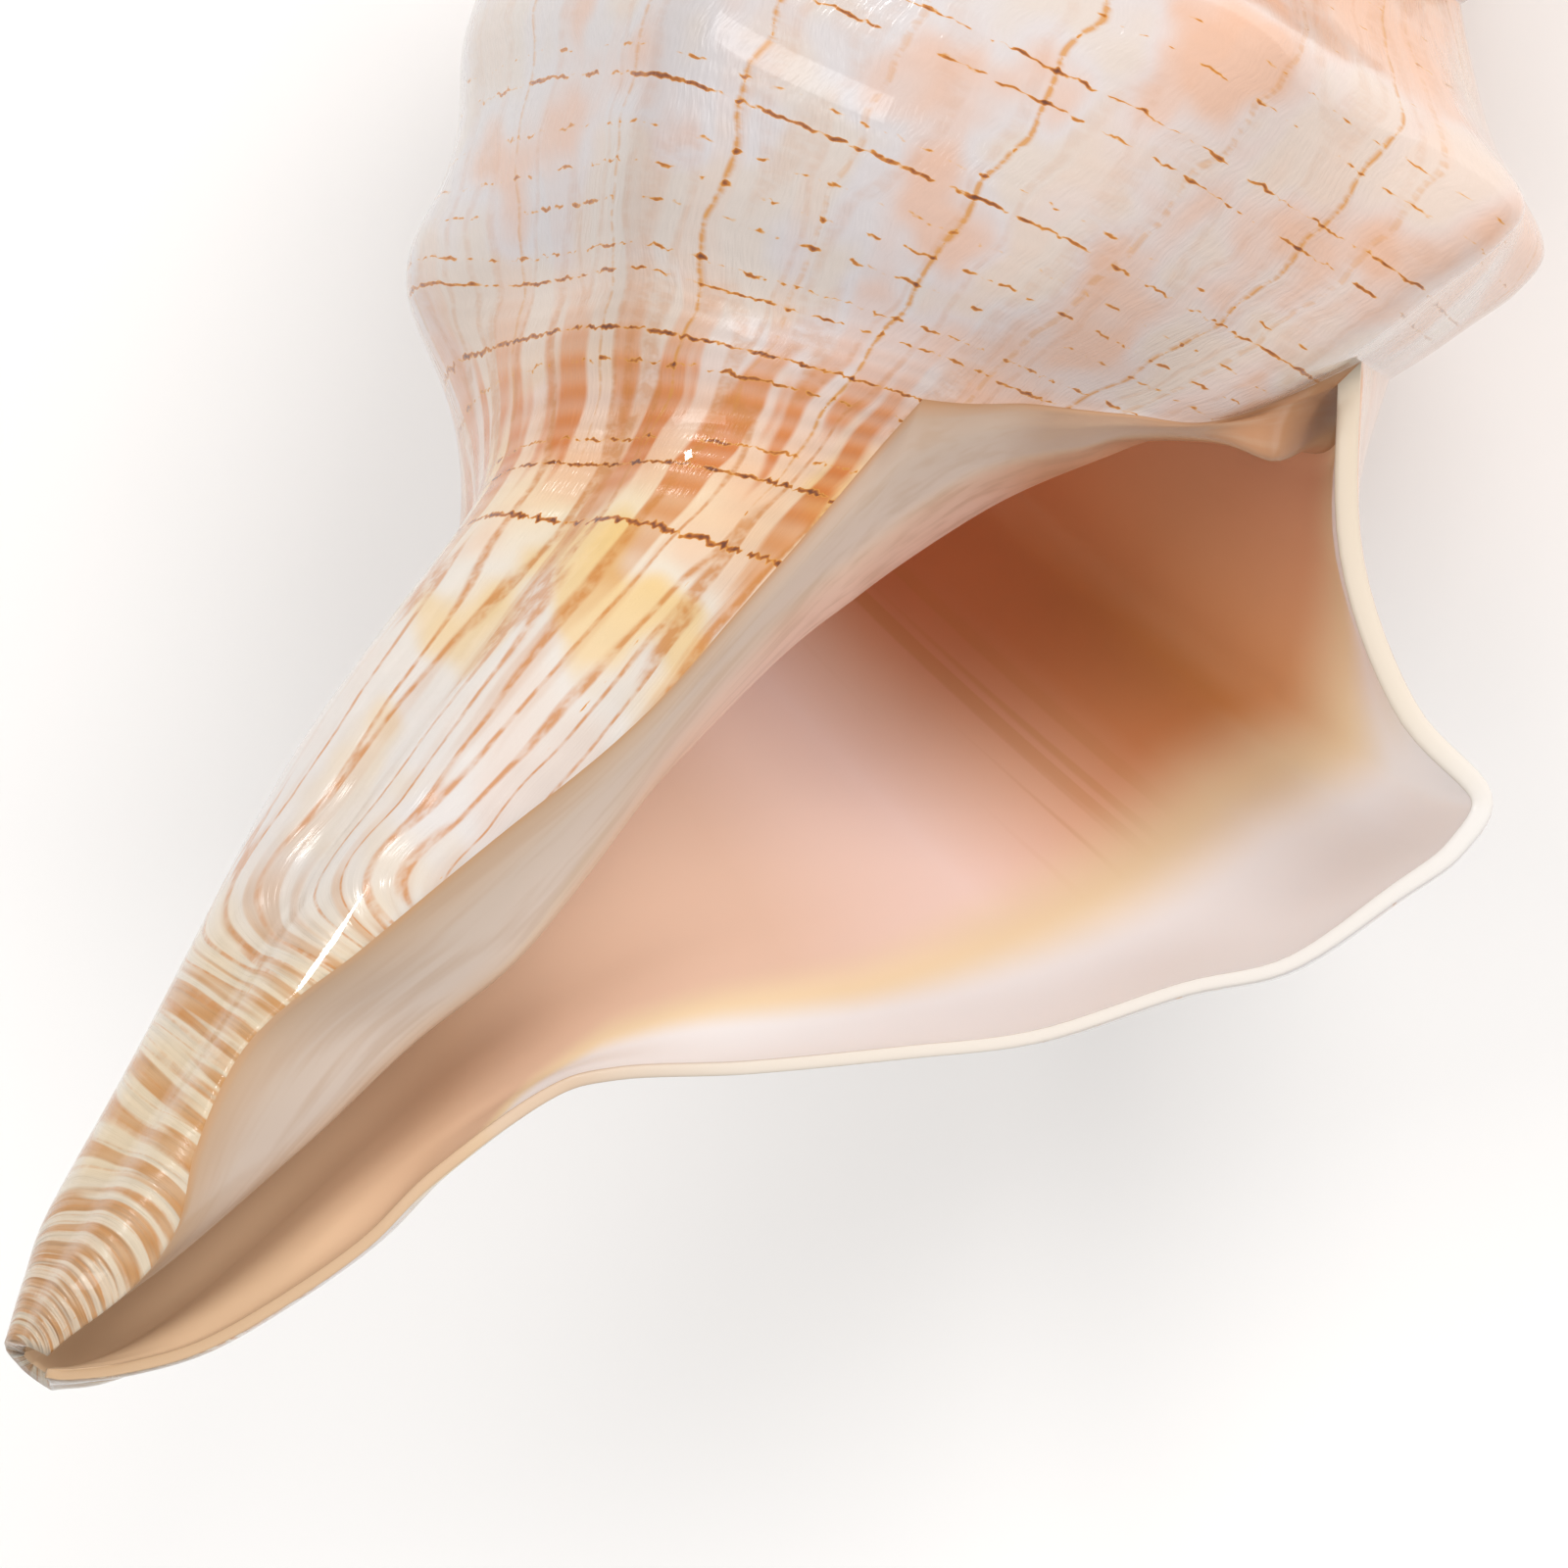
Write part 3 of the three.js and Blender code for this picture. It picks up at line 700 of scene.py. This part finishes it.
# Grown as fine as porcelain: the eye sees sharp small lights over a soft white body.
outer, t, outer_shader = finish("porcelain_outer_layer")
turn, place = growth_coordinates(t)
on_growth = add(t, XYZ, turn, place)
waver_scale = (scale(WHORL_AROUND, WAVER[0]), scale(PLACE_LENGTH, WAVER[1]), 0)
waver = add(t, NOISE, add(t, VECTOR, on_growth, waver_scale, operation="MULTIPLY"), 1.0, 1.0,
            noise_dimensions="2D")
wavered = add(t, MATH, add(t, MATH, waver, 0.5, operation="SUBTRACT"), 0.012, turn,
              operation="MULTIPLY_ADD")
print(outer.name, "reads turn and place from its UV map, wavering by", waver_scale)

# %% [markdown]
# Streaks
#
# A streak is an old edge of the lip that was stained. On the body and down the canal these edges
# run lengthways. At the canal's lower end the animal kept closing the canal, so they bow across it.
# A picture could be painted for this, but a stretched noise on growth coordinates gives streaks
# that never repeat. Two such coordinates, lengthways and across, are blended where they bend over.

# %% Streaks: along the lip on the body, across the canal at its end
# The two coordinates agree at the left of the canal, halfway through the bend.
CANAL_LEFT = -0.6
STRIPE_SHIFT = round(CANAL_LEFT * FLAMES_PER_TURN - sum(CROSSING) / 2 * STRIPES_PER_PLACE)
down_streaks = add(t, XYZ, add(t, MATH, wavered, FLAMES_PER_TURN, operation="MULTIPLY"),
                   add(t, MATH, place, 0.28, operation="MULTIPLY"))
aside = add(t, MATH, turn, CANAL_LEFT, operation="SUBTRACT")
bow = add(t, MATH, add(t, MATH, aside, aside, operation="MULTIPLY"), -16.0, -0.1,
          operation="MULTIPLY_ADD")
slant = add(t, MATH, aside, 3.9, operation="MULTIPLY")
lower = add(t, RANGE, place, 15.8, 17.4, 0.0, 1.0, interpolation_type="SMOOTHSTEP")
lean = add(t, MIX, lower, slant, bow)
across = add(t, MATH, add(t, MATH, place, lean, operation="ADD"), STRIPES_PER_PLACE, STRIPE_SHIFT,
             operation="MULTIPLY_ADD")
across_streaks = add(t, XYZ, across, add(t, MATH, turn, 3.0, 6.0, operation="MULTIPLY_ADD"))
crossed = add(t, RANGE, place, *CROSSING, 0.0, 1.0, interpolation_type="SMOOTHSTEP")
on_streaks = add(t, MIX, crossed, down_streaks, across_streaks, data_type="VECTOR")
broad = add(t, NOISE, on_streaks, 1.0, 1.2, 0.5, noise_dimensions="2D")
fine = add(t, NOISE, on_streaks, scale(FLAME / 2, FINE), 1.0, 0.5, noise_dimensions="2D")
elsewhere = add(t, VECTOR, on_streaks, (30, 9, 0), operation="ADD")
hair = add(t, NOISE, elsewhere, scale(FLAME / 2, HAIR), 0.6, 0.5, noise_dimensions="2D")
hair = add(t, MATH, add(t, MATH, hair, 0.5, operation="SUBTRACT"), operation="ABSOLUTE")
cords = add(t, MATH, add(t, MATH, place, CORDS_PER_PLACE * 2 * math.pi, operation="MULTIPLY"),
            operation="SINE")
print("streaks bend over between places", CROSSING)

# %% [markdown]
# Spiral lines and growth lines
#
# Pigment spots at fixed places of the mantle draw spiral lines as the lip moves on, broken wherever
# a spot rested. A pulse over the whole mantle draws a thin line along the lip instead. Each set is
# a ramp with one narrow peak per line. Noise shakes the place a little and breaks the lines into
# dashes, and where a line meets a pulse it turns into a dark dot.

# %% Broken spiral lines
dash_scale = (scale(WHORL_AROUND, DASH[0]), scale(PLACE_LENGTH, DASH[1]), 0)
dashes = add(t, NOISE, add(t, VECTOR, on_growth, dash_scale, operation="MULTIPLY"), 1.0, 2.0, 0.6,
             noise_dimensions="2D")
shaky_place = add(t, MATH, add(t, MATH, fine, 0.5, operation="SUBTRACT"), 0.1, place,
                  operation="MULTIPLY_ADD")
since = add(t, MATH, wavered, PULSE_START, operation="SUBTRACT")
since = add(t, MATH, since, PULSE_REPEAT, operation="DIVIDE")
pulse_ramp = ramp(t, add(t, MATH, since, operation="FRACT"),
                  peaks(PIGMENT_PULSES, PULSE_HALF_WIDTH, PULSE_START, PULSE_START + PULSE_REPEAT))
line_ramps = [
    ramp(t, add(t, RANGE, shaky_place, low, high, 0.0, 1.0),
         peaks([row for row in SPIRAL_LINES if low < row[0] < high], LINE_HALF_WIDTH, low, high))
    for low, high in LINE_WINDOWS
]
lines = add(t, MATH, add(t, MATH, *line_ramps[:2], operation="ADD"), line_ramps[2], operation="ADD")
print(len(line_ramps), "ramps hold the spiral lines, broken up by", dash_scale)

# %% Pigment: lines show where their strength passes the dashes, and darken at the pulses
PATCH_MM = 10.0
metres = add(t, "ShaderNodeTexCoord", output=3)
patches = add(t, NOISE, metres, 1000 / PATCH_MM, 2.0, 0.5)
pulse = add(t, MATH, pulse_ramp, add(t, RANGE, dashes, 0.34, 0.56, 0.25, 1.0), operation="MULTIPLY")
on_body = add(t, RANGE, place, 10.5, 12.5, 1.0, 0.0)
pulse = add(t, MATH, pulse, on_body, operation="MULTIPLY")
gate = add(t, RANGE, dashes, 0.3, 0.7, 0.2, 1.0)
gate = add(t, MATH, pulse_ramp, -0.5, gate, operation="MULTIPLY_ADD")
line = add(t, RANGE, add(t, MATH, lines, gate, operation="SUBTRACT"), 0.0, 0.85, 0.0, 1.0,
           interpolation_type="SMOOTHSTEP")
print("patches of colour are about", PATCH_MM, "mm wide")

# %% [markdown]
# Ground colour
#
# Under the markings the shell is a cool white on the body and warmer at the suture, the neck and
# the canal. Real shell also has cloudy patches of peach and ochre, more of them on older growth.
# One ramp along the outline gives the zones, and one noise in space lays the patches over it.

# %% The pale ground and its warm patches
by_place = add(t, MATH, place, RAMP_PLACES, operation="DIVIDE")
ground = ramp(t, by_place, [
    (0.0, "#C6A189"), (0.1, "#C4B4AC"), (0.16, "#BFB7B5"), (0.3, "#BBB4B3"), (0.44, "#BBB5B6"),
    (0.5, "#C1B3AE"), (0.535, "#C8AE9E"), (0.575, "#CBA98A"), (0.605, "#CDBA9C"), (0.64, "#C6BDB2"),
    (0.72, "#C2BBB7"), (0.77, "#BEB09C"), (1.0, "#BAA98F"),
])
warm_share = ramp(t, by_place, [
    (0.0, 0.7), (0.3, 0.6), (0.5, 0.5), (0.62, 0.4), (0.68, 0.15), (1.0, 0.15),
])
older = add(t, RANGE, turn, -0.66, -0.86, 0.0, 1.0, interpolation_type="SMOOTHSTEP")
older = add(t, MATH, older, warm_share, operation="MULTIPLY")
ground = add(t, MIX, add(t, MATH, older, 0.5, operation="MULTIPLY"), ground, linear("#C9A896"),
             data_type="RGBA")
warm = add(t, MATH, older, 0.12, patches, operation="MULTIPLY_ADD")
warm = add(t, RANGE, warm, 0.5, 0.66, 0.0, 1.0, interpolation_type="SMOOTHSTEP")
warm = add(t, MATH, warm, warm_share, operation="MULTIPLY")
ground = add(t, MIX, warm, ground, linear("#C8926C"), data_type="RGBA")
sunny_share = ramp(t, by_place, [
    (0.0, 0.1), (0.3, 0.15), (0.54, 0.2), (0.61, 0.85), (0.66, 0.55), (0.72, 0.15), (1.0, 0.15),
])
sunny = add(t, RANGE, patches, 0.5, 0.4, 0.0, 1.0, interpolation_type="SMOOTHSTEP")
sunny = add(t, MATH, sunny, sunny_share, operation="MULTIPLY")
ground = add(t, MIX, sunny, ground, linear("#CBA558"), data_type="RGBA")
print("ground: cool white, with peach and ochre patches")

# %% Streaks over the ground, then the lines
streak_share = ramp(t, by_place, [
    (0.0, 0.5), (0.12, 0.25), (0.2, 0.1), (0.44, 0.1), (0.49, 0.35), (0.52, 0.9), (0.58, 1.0),
    (0.61, 0.75), (0.65, 0.3), (0.72, 0.15), (0.78, 0.85), (1.0, 0.85),
])
streak_colour = ramp(t, by_place, [
    (0.0, "#CF946B"), (0.4, "#CE9975"), (0.5, "#C07636"), (0.57, "#B4621A"), (0.62, "#B06C1E"),
    (0.68, "#A86C28"), (0.78, "#A8702C"), (1.0, "#A06C30"),
])
level = ramp(t, by_place, [
    (0.0, 0.09), (0.48, 0.07), (0.53, 0.02), (0.6, 0.03), (0.66, 0.08), (0.72, 0.08), (0.77, 0.03),
])
streak = add(t, RANGE, add(t, MATH, broad, level, operation="SUBTRACT"), 0.42, 0.53, 0.0, 1.0,
             interpolation_type="SMOOTHSTEP")
woven = add(t, MATH, cords, 0.12, 0.88, operation="MULTIPLY_ADD")
streak = add(t, MATH, add(t, MATH, streak, woven, operation="MULTIPLY"), streak_share,
             operation="MULTIPLY")
painted = add(t, MIX, streak, ground, streak_colour, data_type="RGBA")
thin_share = ramp(t, by_place, [
    (0.0, 0.3), (0.2, 0.1), (0.46, 0.2), (0.54, 0.6), (0.62, 0.8), (0.74, 0.8), (0.8, 0.3),
    (1.0, 0.3),
])
thin = add(t, RANGE, hair, 0.015, 0.07, 1.0, 0.0, interpolation_type="SMOOTHSTEP")
thin = add(t, MATH, thin, add(t, RANGE, dashes, 0.35, 0.6, 0.35, 1.0), operation="MULTIPLY")
thin = add(t, MATH, thin, thin_share, operation="MULTIPLY")
painted = add(t, MIX, thin, painted, linear("#AE6C22"), data_type="RGBA")
pulse_tint = add(t, RANGE, pulse, 0.1, 0.7, 0.0, 0.85)
painted = add(t, MIX, pulse_tint, painted, linear("#B87C2E"), data_type="RGBA")
line_colour = ramp(t, line, [
    (0.0, "#CB9440"), (0.25, "#AE6A1A"), (0.6, "#8A480C"), (1.0, "#5C2A06"),
])
line_share = add(t, RANGE, line, 0.0, 0.16, 0.0, 1.0)
painted = add(t, MIX, line_share, painted, line_colour, data_type="RGBA")
t.links.new(painted, outer_shader.inputs["Base Color"])
print("painted: ground, flames, thin streaks, growth lines, spiral lines")

# %% [markdown]
# Gloss and relief
#
# A clean shell is polished like porcelain, so it shows small sharp lights over a soft white body.
# A clear coat gives those lights and the rougher base the body. Growth striae, finer than a tenth
# of a millimetre, break the lights up. They are only bump, because no outline shows them, and they
# are drawn coarser than life, or they would vanish at this distance.

# %% Gloss and relief of the outer layer
RELIEF_MM = 0.08
ridges = add(t, NOISE, on_streaks, scale(FLAME / 2, RIDGE), 1.0, 0.6, noise_dimensions="2D")
striae = add(t, NOISE, on_streaks, scale(FLAME / 2, STRIAE), 1.0, 0.6, noise_dimensions="2D")
cord_share = add(t, RANGE, place, 9.0, 11.0, 0.05, 0.3, interpolation_type="SMOOTHSTEP")
ridge_share = add(t, RANGE, place, 13.5, 15.5, 0.5, 2.2, interpolation_type="SMOOTHSTEP")
striae_share = add(t, RANGE, place, 9.0, 13.0, 0.5, 0.2)
height = add(t, MATH, ridges, ridge_share, operation="MULTIPLY")
height = add(t, MATH, striae, striae_share, height, operation="MULTIPLY_ADD")
height = add(t, MATH, cords, cord_share, height, operation="MULTIPLY_ADD")
relief = add(t, "ShaderNodeBump", 1.0, RELIEF_MM / 1000, None, height)
t.links.new(relief, outer_shader.inputs["Normal"])
outer_shader.inputs["Roughness"].default_value = 0.2
outer_shader.inputs["IOR"].default_value = 1.56
outer_shader.inputs["Coat Weight"].default_value = 0.8
outer_shader.inputs["Coat Roughness"].default_value = 0.03
print("outer layer:", len(t.nodes), "nodes")

# %% [markdown]
# Inside the mouth
#
# The inner layer was polished by the animal's body. It is white along the newest margin of the lip
# and deepens from peach to orange and golden brown inwards, where the layer is older and thicker.
# A vertex paint would do for such broad zones, but ramps over place and turn stay easy to correct.
# The polish is softer than outside, so the eye sees colour before it sees lights.

# %% Inner layer
# How far the white margin reaches in from the lip: place, turns.
WHITE_MARGIN = [
    (0, 0.05), (2.3, 0.085), (4.3, 0.11), (5.3, 0.115), (6.2, 0.11), (6.8, 0.105), (8.2, 0.095),
    (9.5, 0.08), (10.6, 0.075), (11.6, 0.065), (12.3, 0.03), (13, -0.06), (19, -0.06),
]
# A ramp can't hold the margin's negative end, so it is shifted up and back.
MARGIN_SHIFT = 0.1
# Faint golden lines run the whole way in: length and spacing in millimetres.
FAINT = (167, 2.8)
INNER_AROUND = 2 * math.pi * 40
# Polished by the soft body: the eye sees colour first, and only broad soft lights.
inner, t, inner_shader = finish("polished_inner_layer")
turn, place = growth_coordinates(t)
by_place = add(t, MATH, place, RAMP_PLACES, operation="DIVIDE")
deep = ramp(t, by_place, [
    (0.0, "#D8A488"), (0.12, "#DCA578"), (0.2, "#D29058"), (0.27, "#DC9868"), (0.33, "#EEC0A2"),
    (0.4, "#F4DAD0"), (0.5, "#E4C4AF"), (0.6, "#E2C0A6"),
    (0.66, "#D6B394"), (0.75, "#CCAC8C"), (1.0, "#C4A786"),
])
older = add(t, RANGE, turn, -0.15, -0.24, 0.0, 1.0, interpolation_type="SMOOTHSTEP")
upper_part = add(t, RANGE, place, 5.8, 7.4, 0.85, 0.0, interpolation_type="SMOOTHSTEP")
redder = add(t, MATH, older, upper_part, operation="MULTIPLY")
deep = add(t, MIX, redder, deep, linear("#E08A5E"), data_type="RGBA")
faint_scale = (scale(INNER_AROUND, FAINT[0]), scale(PLACE_LENGTH, FAINT[1]), 0)
on_inside = add(t, VECTOR, add(t, XYZ, turn, place), faint_scale, operation="MULTIPLY")
faint = add(t, NOISE, on_inside, 1.0, 1.0, 0.6, noise_dimensions="2D")
faint_place = add(t, RANGE, place, 5.2, 6.2, 0.0, 1.0, interpolation_type="SMOOTHSTEP")
faint_end = add(t, RANGE, place, 6.6, 7.6, 0.3, 0.0, interpolation_type="SMOOTHSTEP")
faint_share = add(t, RANGE, faint, 0.5, 0.62, 0.0, 1.0, interpolation_type="SMOOTHSTEP")
faint_share = add(t, MATH, faint_share, add(t, MATH, faint_place, faint_end, operation="MULTIPLY"),
                  operation="MULTIPLY")
deep = add(t, MIX, faint_share, deep, linear("#C88A3C"), data_type="RGBA")
margin = ramp(t, by_place, [(p / RAMP_PLACES, reach + MARGIN_SHIFT) for p, reach in WHITE_MARGIN])
margin = add(t, MATH, margin, MARGIN_SHIFT, operation="SUBTRACT")
from_margin = add(t, MATH, turn, margin, operation="ADD")
fringe = add(t, RANGE, from_margin, -0.035, -0.002, 0.0, 1.0, interpolation_type="SMOOTHSTEP")
inside_colour = add(t, MIX, fringe, deep, linear("#EFD9B4"), data_type="RGBA")
white = add(t, RANGE, from_margin, -0.008, 0.022, 0.0, 1.0, interpolation_type="SMOOTHSTEP")
inside_colour = add(t, MIX, white, inside_colour, linear("#F4F4F4"), data_type="RGBA")
edge_colour = ramp(t, by_place, [
    (0.0, "#B8A58C"), (0.1, "#C2B4A2"), (0.17, "#C6C0BA"), (0.3, "#C4BCB4"), (0.5, "#C2B4A4"),
    (0.58, "#B99C7E"), (1.0, "#A48666"),
])
edge = add(t, RANGE, turn, -0.006, -0.001, 0.0, 0.9)
inside_colour = add(t, MIX, edge, inside_colour, edge_colour, data_type="RGBA")
t.links.new(inside_colour, inner_shader.inputs["Base Color"])
inner_shader.inputs["Roughness"].default_value = 0.3
inner_shader.inputs["IOR"].default_value = 1.5
inner_shader.inputs["Coat Weight"].default_value = 0.15
inner_shader.inputs["Coat Roughness"].default_value = 0.2
print("inner layer:", len(t.nodes), "nodes")

# %% [markdown]
# Callus and columella
#
# Beside the mouth the animal spread a thin glaze over the older shell, the callus, which ends in a
# tan translucent edge. It runs on round the columella, the pillar that the whorls turn about. Ramps
# across the sheet give its edge, its pale face and the stained side in the mouth, one each for the
# top, the middle and the canal. To the eye it is a smooth wax-like film with faint clouds in it.

# %% Callus
# Clouds in the glaze: width and length in millimetres, on a face that is this wide per unit.
CLOUD, CALLUS_ACROSS = (3.85, 17.5), 50
# A thin glaze over older shell: the eye sees a smooth, slightly waxy film.
callus, t, callus_shader = finish("callus_glaze")
across_mouth, place = growth_coordinates(t)
glaze = ramp(t, across_mouth, [
    (0.0, "#A67850"), (0.012, "#AC8464"), (0.035, "#98785F"), (0.1, "#9F806A"), (0.2, "#A98C78"),
    (0.27, "#CAA891"), (0.36, "#DDAE91"), (0.6, "#DC966F"), (1.0, "#DA8156"),
])
trough = ramp(t, across_mouth, [
    (0.0, "#A98058"), (0.02, "#AE9176"), (0.1, "#B9A696"), (0.2, "#C2B0A2"), (0.27, "#CBB39E"),
    (0.4, "#CDA88A"), (1.0, "#D3B398"),
])
pillar = ramp(t, across_mouth, [
    (0.0, "#A67850"), (0.012, "#AC8464"), (0.035, "#AC927E"), (0.1, "#B39E8E"), (0.2, "#BEAA9C"),
    (0.27, "#D6BCAC"), (0.4, "#F0D3C6"), (1.0, "#F4D6C8"),
])
half_down = add(t, RANGE, place, 5.5, 8.0, 0.0, 1.0, interpolation_type="SMOOTHSTEP")
low_down = add(t, RANGE, place, 11.5, 14.0, 0.0, 1.0, interpolation_type="SMOOTHSTEP")
callus_colour = add(t, MIX, half_down, glaze, pillar, data_type="RGBA")
callus_colour = add(t, MIX, low_down, callus_colour, trough, data_type="RGBA")
# Towards the top the sheet turns a darker brown. In part this is the tan glaze there, and in part
# it is painted shadow in the notch under the suture.
notch_shade_and_tan_glaze = add(t, RANGE, place, 4.5, 1.0, 0.0, 0.85, interpolation_type="SMOOTHSTEP")
callus_colour = add(t, MIX, notch_shade_and_tan_glaze, callus_colour, linear("#A27049"), data_type="RGBA")
cloud_scale = (scale(CALLUS_ACROSS, CLOUD[0]), scale(PLACE_LENGTH, CLOUD[1]), 0)
down_it = add(t, VECTOR, add(t, XYZ, across_mouth, place), cloud_scale, operation="MULTIPLY")
cloud = add(t, NOISE, down_it, 1.0, 2.0, 0.6, noise_dimensions="2D")
cloud_share = add(t, RANGE, cloud, 0.4, 0.75, 0.0, 0.4, interpolation_type="SMOOTHSTEP")
callus_colour = add(t, MIX, cloud_share, callus_colour, linear("#A88A70"), data_type="RGBA")
t.links.new(callus_colour, callus_shader.inputs["Base Color"])
callus_shader.inputs["Roughness"].default_value = 0.28
callus_shader.inputs["IOR"].default_value = 1.56
callus_shader.inputs["Coat Weight"].default_value = 0.3
callus_shader.inputs["Coat Roughness"].default_value = 0.12
print("callus:", len(t.nodes), "nodes")

# %% Each sheet gets its layer
LAYERS = [(body, outer), (neck, outer), (inner_wall, inner), (columella, callus), (rim, outer)]
for piece, layer in LAYERS:
    piece.data.materials.append(layer)
    print(piece.name, "is", layer.name)

# %% [markdown]
# One shell
#
# The five sheets meet in the very same points. Joining them and merging the doubles makes one
# closed skin, as the real shell has. A tight limit keeps the tiny faces at the apex apart. Normals
# are then made to point out, and a count of open edges shows whether any seam was missed.

# %% Joined into one closed shell
SAME_POINT, NO_LENGTH = 3e-7, 1e-7
bpy.ops.object.select_all(action="DESELECT")
for piece, _ in LAYERS:
    piece.select_set(True)
bpy.context.view_layer.objects.active = body
bpy.ops.object.join()
shell = bpy.context.object
shell.name = "shell_piece"
bpy.ops.object.mode_set(mode="EDIT")
bpy.ops.mesh.select_all(action="SELECT")
bpy.ops.mesh.remove_doubles(threshold=SAME_POINT)
bpy.ops.mesh.dissolve_degenerate(threshold=NO_LENGTH)
bpy.ops.mesh.select_all(action="SELECT")
bpy.ops.mesh.normals_make_consistent(inside=False)
bpy.ops.mesh.select_all(action="DESELECT")
bpy.ops.mesh.select_non_manifold()
bpy.ops.object.mode_set(mode="OBJECT")
open_edges = sum(e.select for e in shell.data.edges)
bpy.ops.object.shade_smooth()
triangles = sum(len(p.vertices) - 2 for p in shell.data.polygons)
print("shell:", triangles, "triangles,", open_edges, "edges that aren't closed")

# %% [markdown]
# Studio
#
# The shell is shown as in a small studio, on a pale floor in soft light from the top right. Wide
# lamps light the form and the mouth, and they are hidden from reflections, because a wide white
# patch on a gloss hides the markings. Two small strips make the sharp lights instead.

# %% Floor
FLOOR_SIZE = 3.0
bpy.ops.object.select_all(action="DESELECT")
bpy.ops.mesh.primitive_plane_add(size=FLOOR_SIZE, location=(0, 0, 0))
floor = bpy.context.object
floor.name = "floor"
# Uncoated paper: the eye sees an even white without lights.
paper, t, paper_shader = finish("pale_paper")
paper_shader.inputs["Base Color"].default_value = linear("#F2F0EE")
paper_shader.inputs["Roughness"].default_value = 0.7
floor.data.materials.append(paper)
print("floor", FLOOR_SIZE, "m wide")

# %% Light
# Name; right, above and near from the middle of the picture in mm; width and height in m; watts;
# whether gloss shows it.
LIGHTS = [
    ("main_softbox", (420, 620, 1150), 0.6, 0.6, 9.0, False),
    ("left_softbox", (-480, 300, 1150), 0.5, 0.5, 4.0, False),
    ("front_fill", (-150, -300, 1300), 0.5, 0.5, 1.5, False),
    ("right_fill", (850, 0, 850), 0.4, 0.4, 4.5, False),
    ("top_strip", (-640, 380, 760), 0.09, 0.09, 1.3, True),
    ("side_strip", (-650, -50, 600), 0.12, 0.5, 0.5, True),
]
SKY_STRENGTH = 0.6
target = Vector(from_camera(0, 0, 0))
for name, (right, above, near), width, height, watts, mirrored in LIGHTS:
    bpy.ops.object.light_add(type="AREA", location=from_camera(right, above, near))
    light = bpy.context.object
    light.name = name
    light.data.shape = "RECTANGLE"
    light.data.size, light.data.size_y = width, height
    light.data.energy = watts
    light.visible_glossy = mirrored
    light.rotation_euler = (target - light.location).to_track_quat("-Z", "Y").to_euler()
world = bpy.data.worlds.new("studio")
bpy.context.scene.world = world
world.use_nodes = True
sky = world.node_tree.nodes["Background"]
sky.inputs["Strength"].default_value = SKY_STRENGTH
sky.inputs["Color"].default_value = (1, 1, 1, 1)
bpy.context.scene.view_settings.view_transform = "Standard"
print(len(LIGHTS), "lamps and a pale sky")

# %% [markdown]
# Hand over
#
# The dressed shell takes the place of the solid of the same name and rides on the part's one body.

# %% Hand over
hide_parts("shell")
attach(shell, "root")
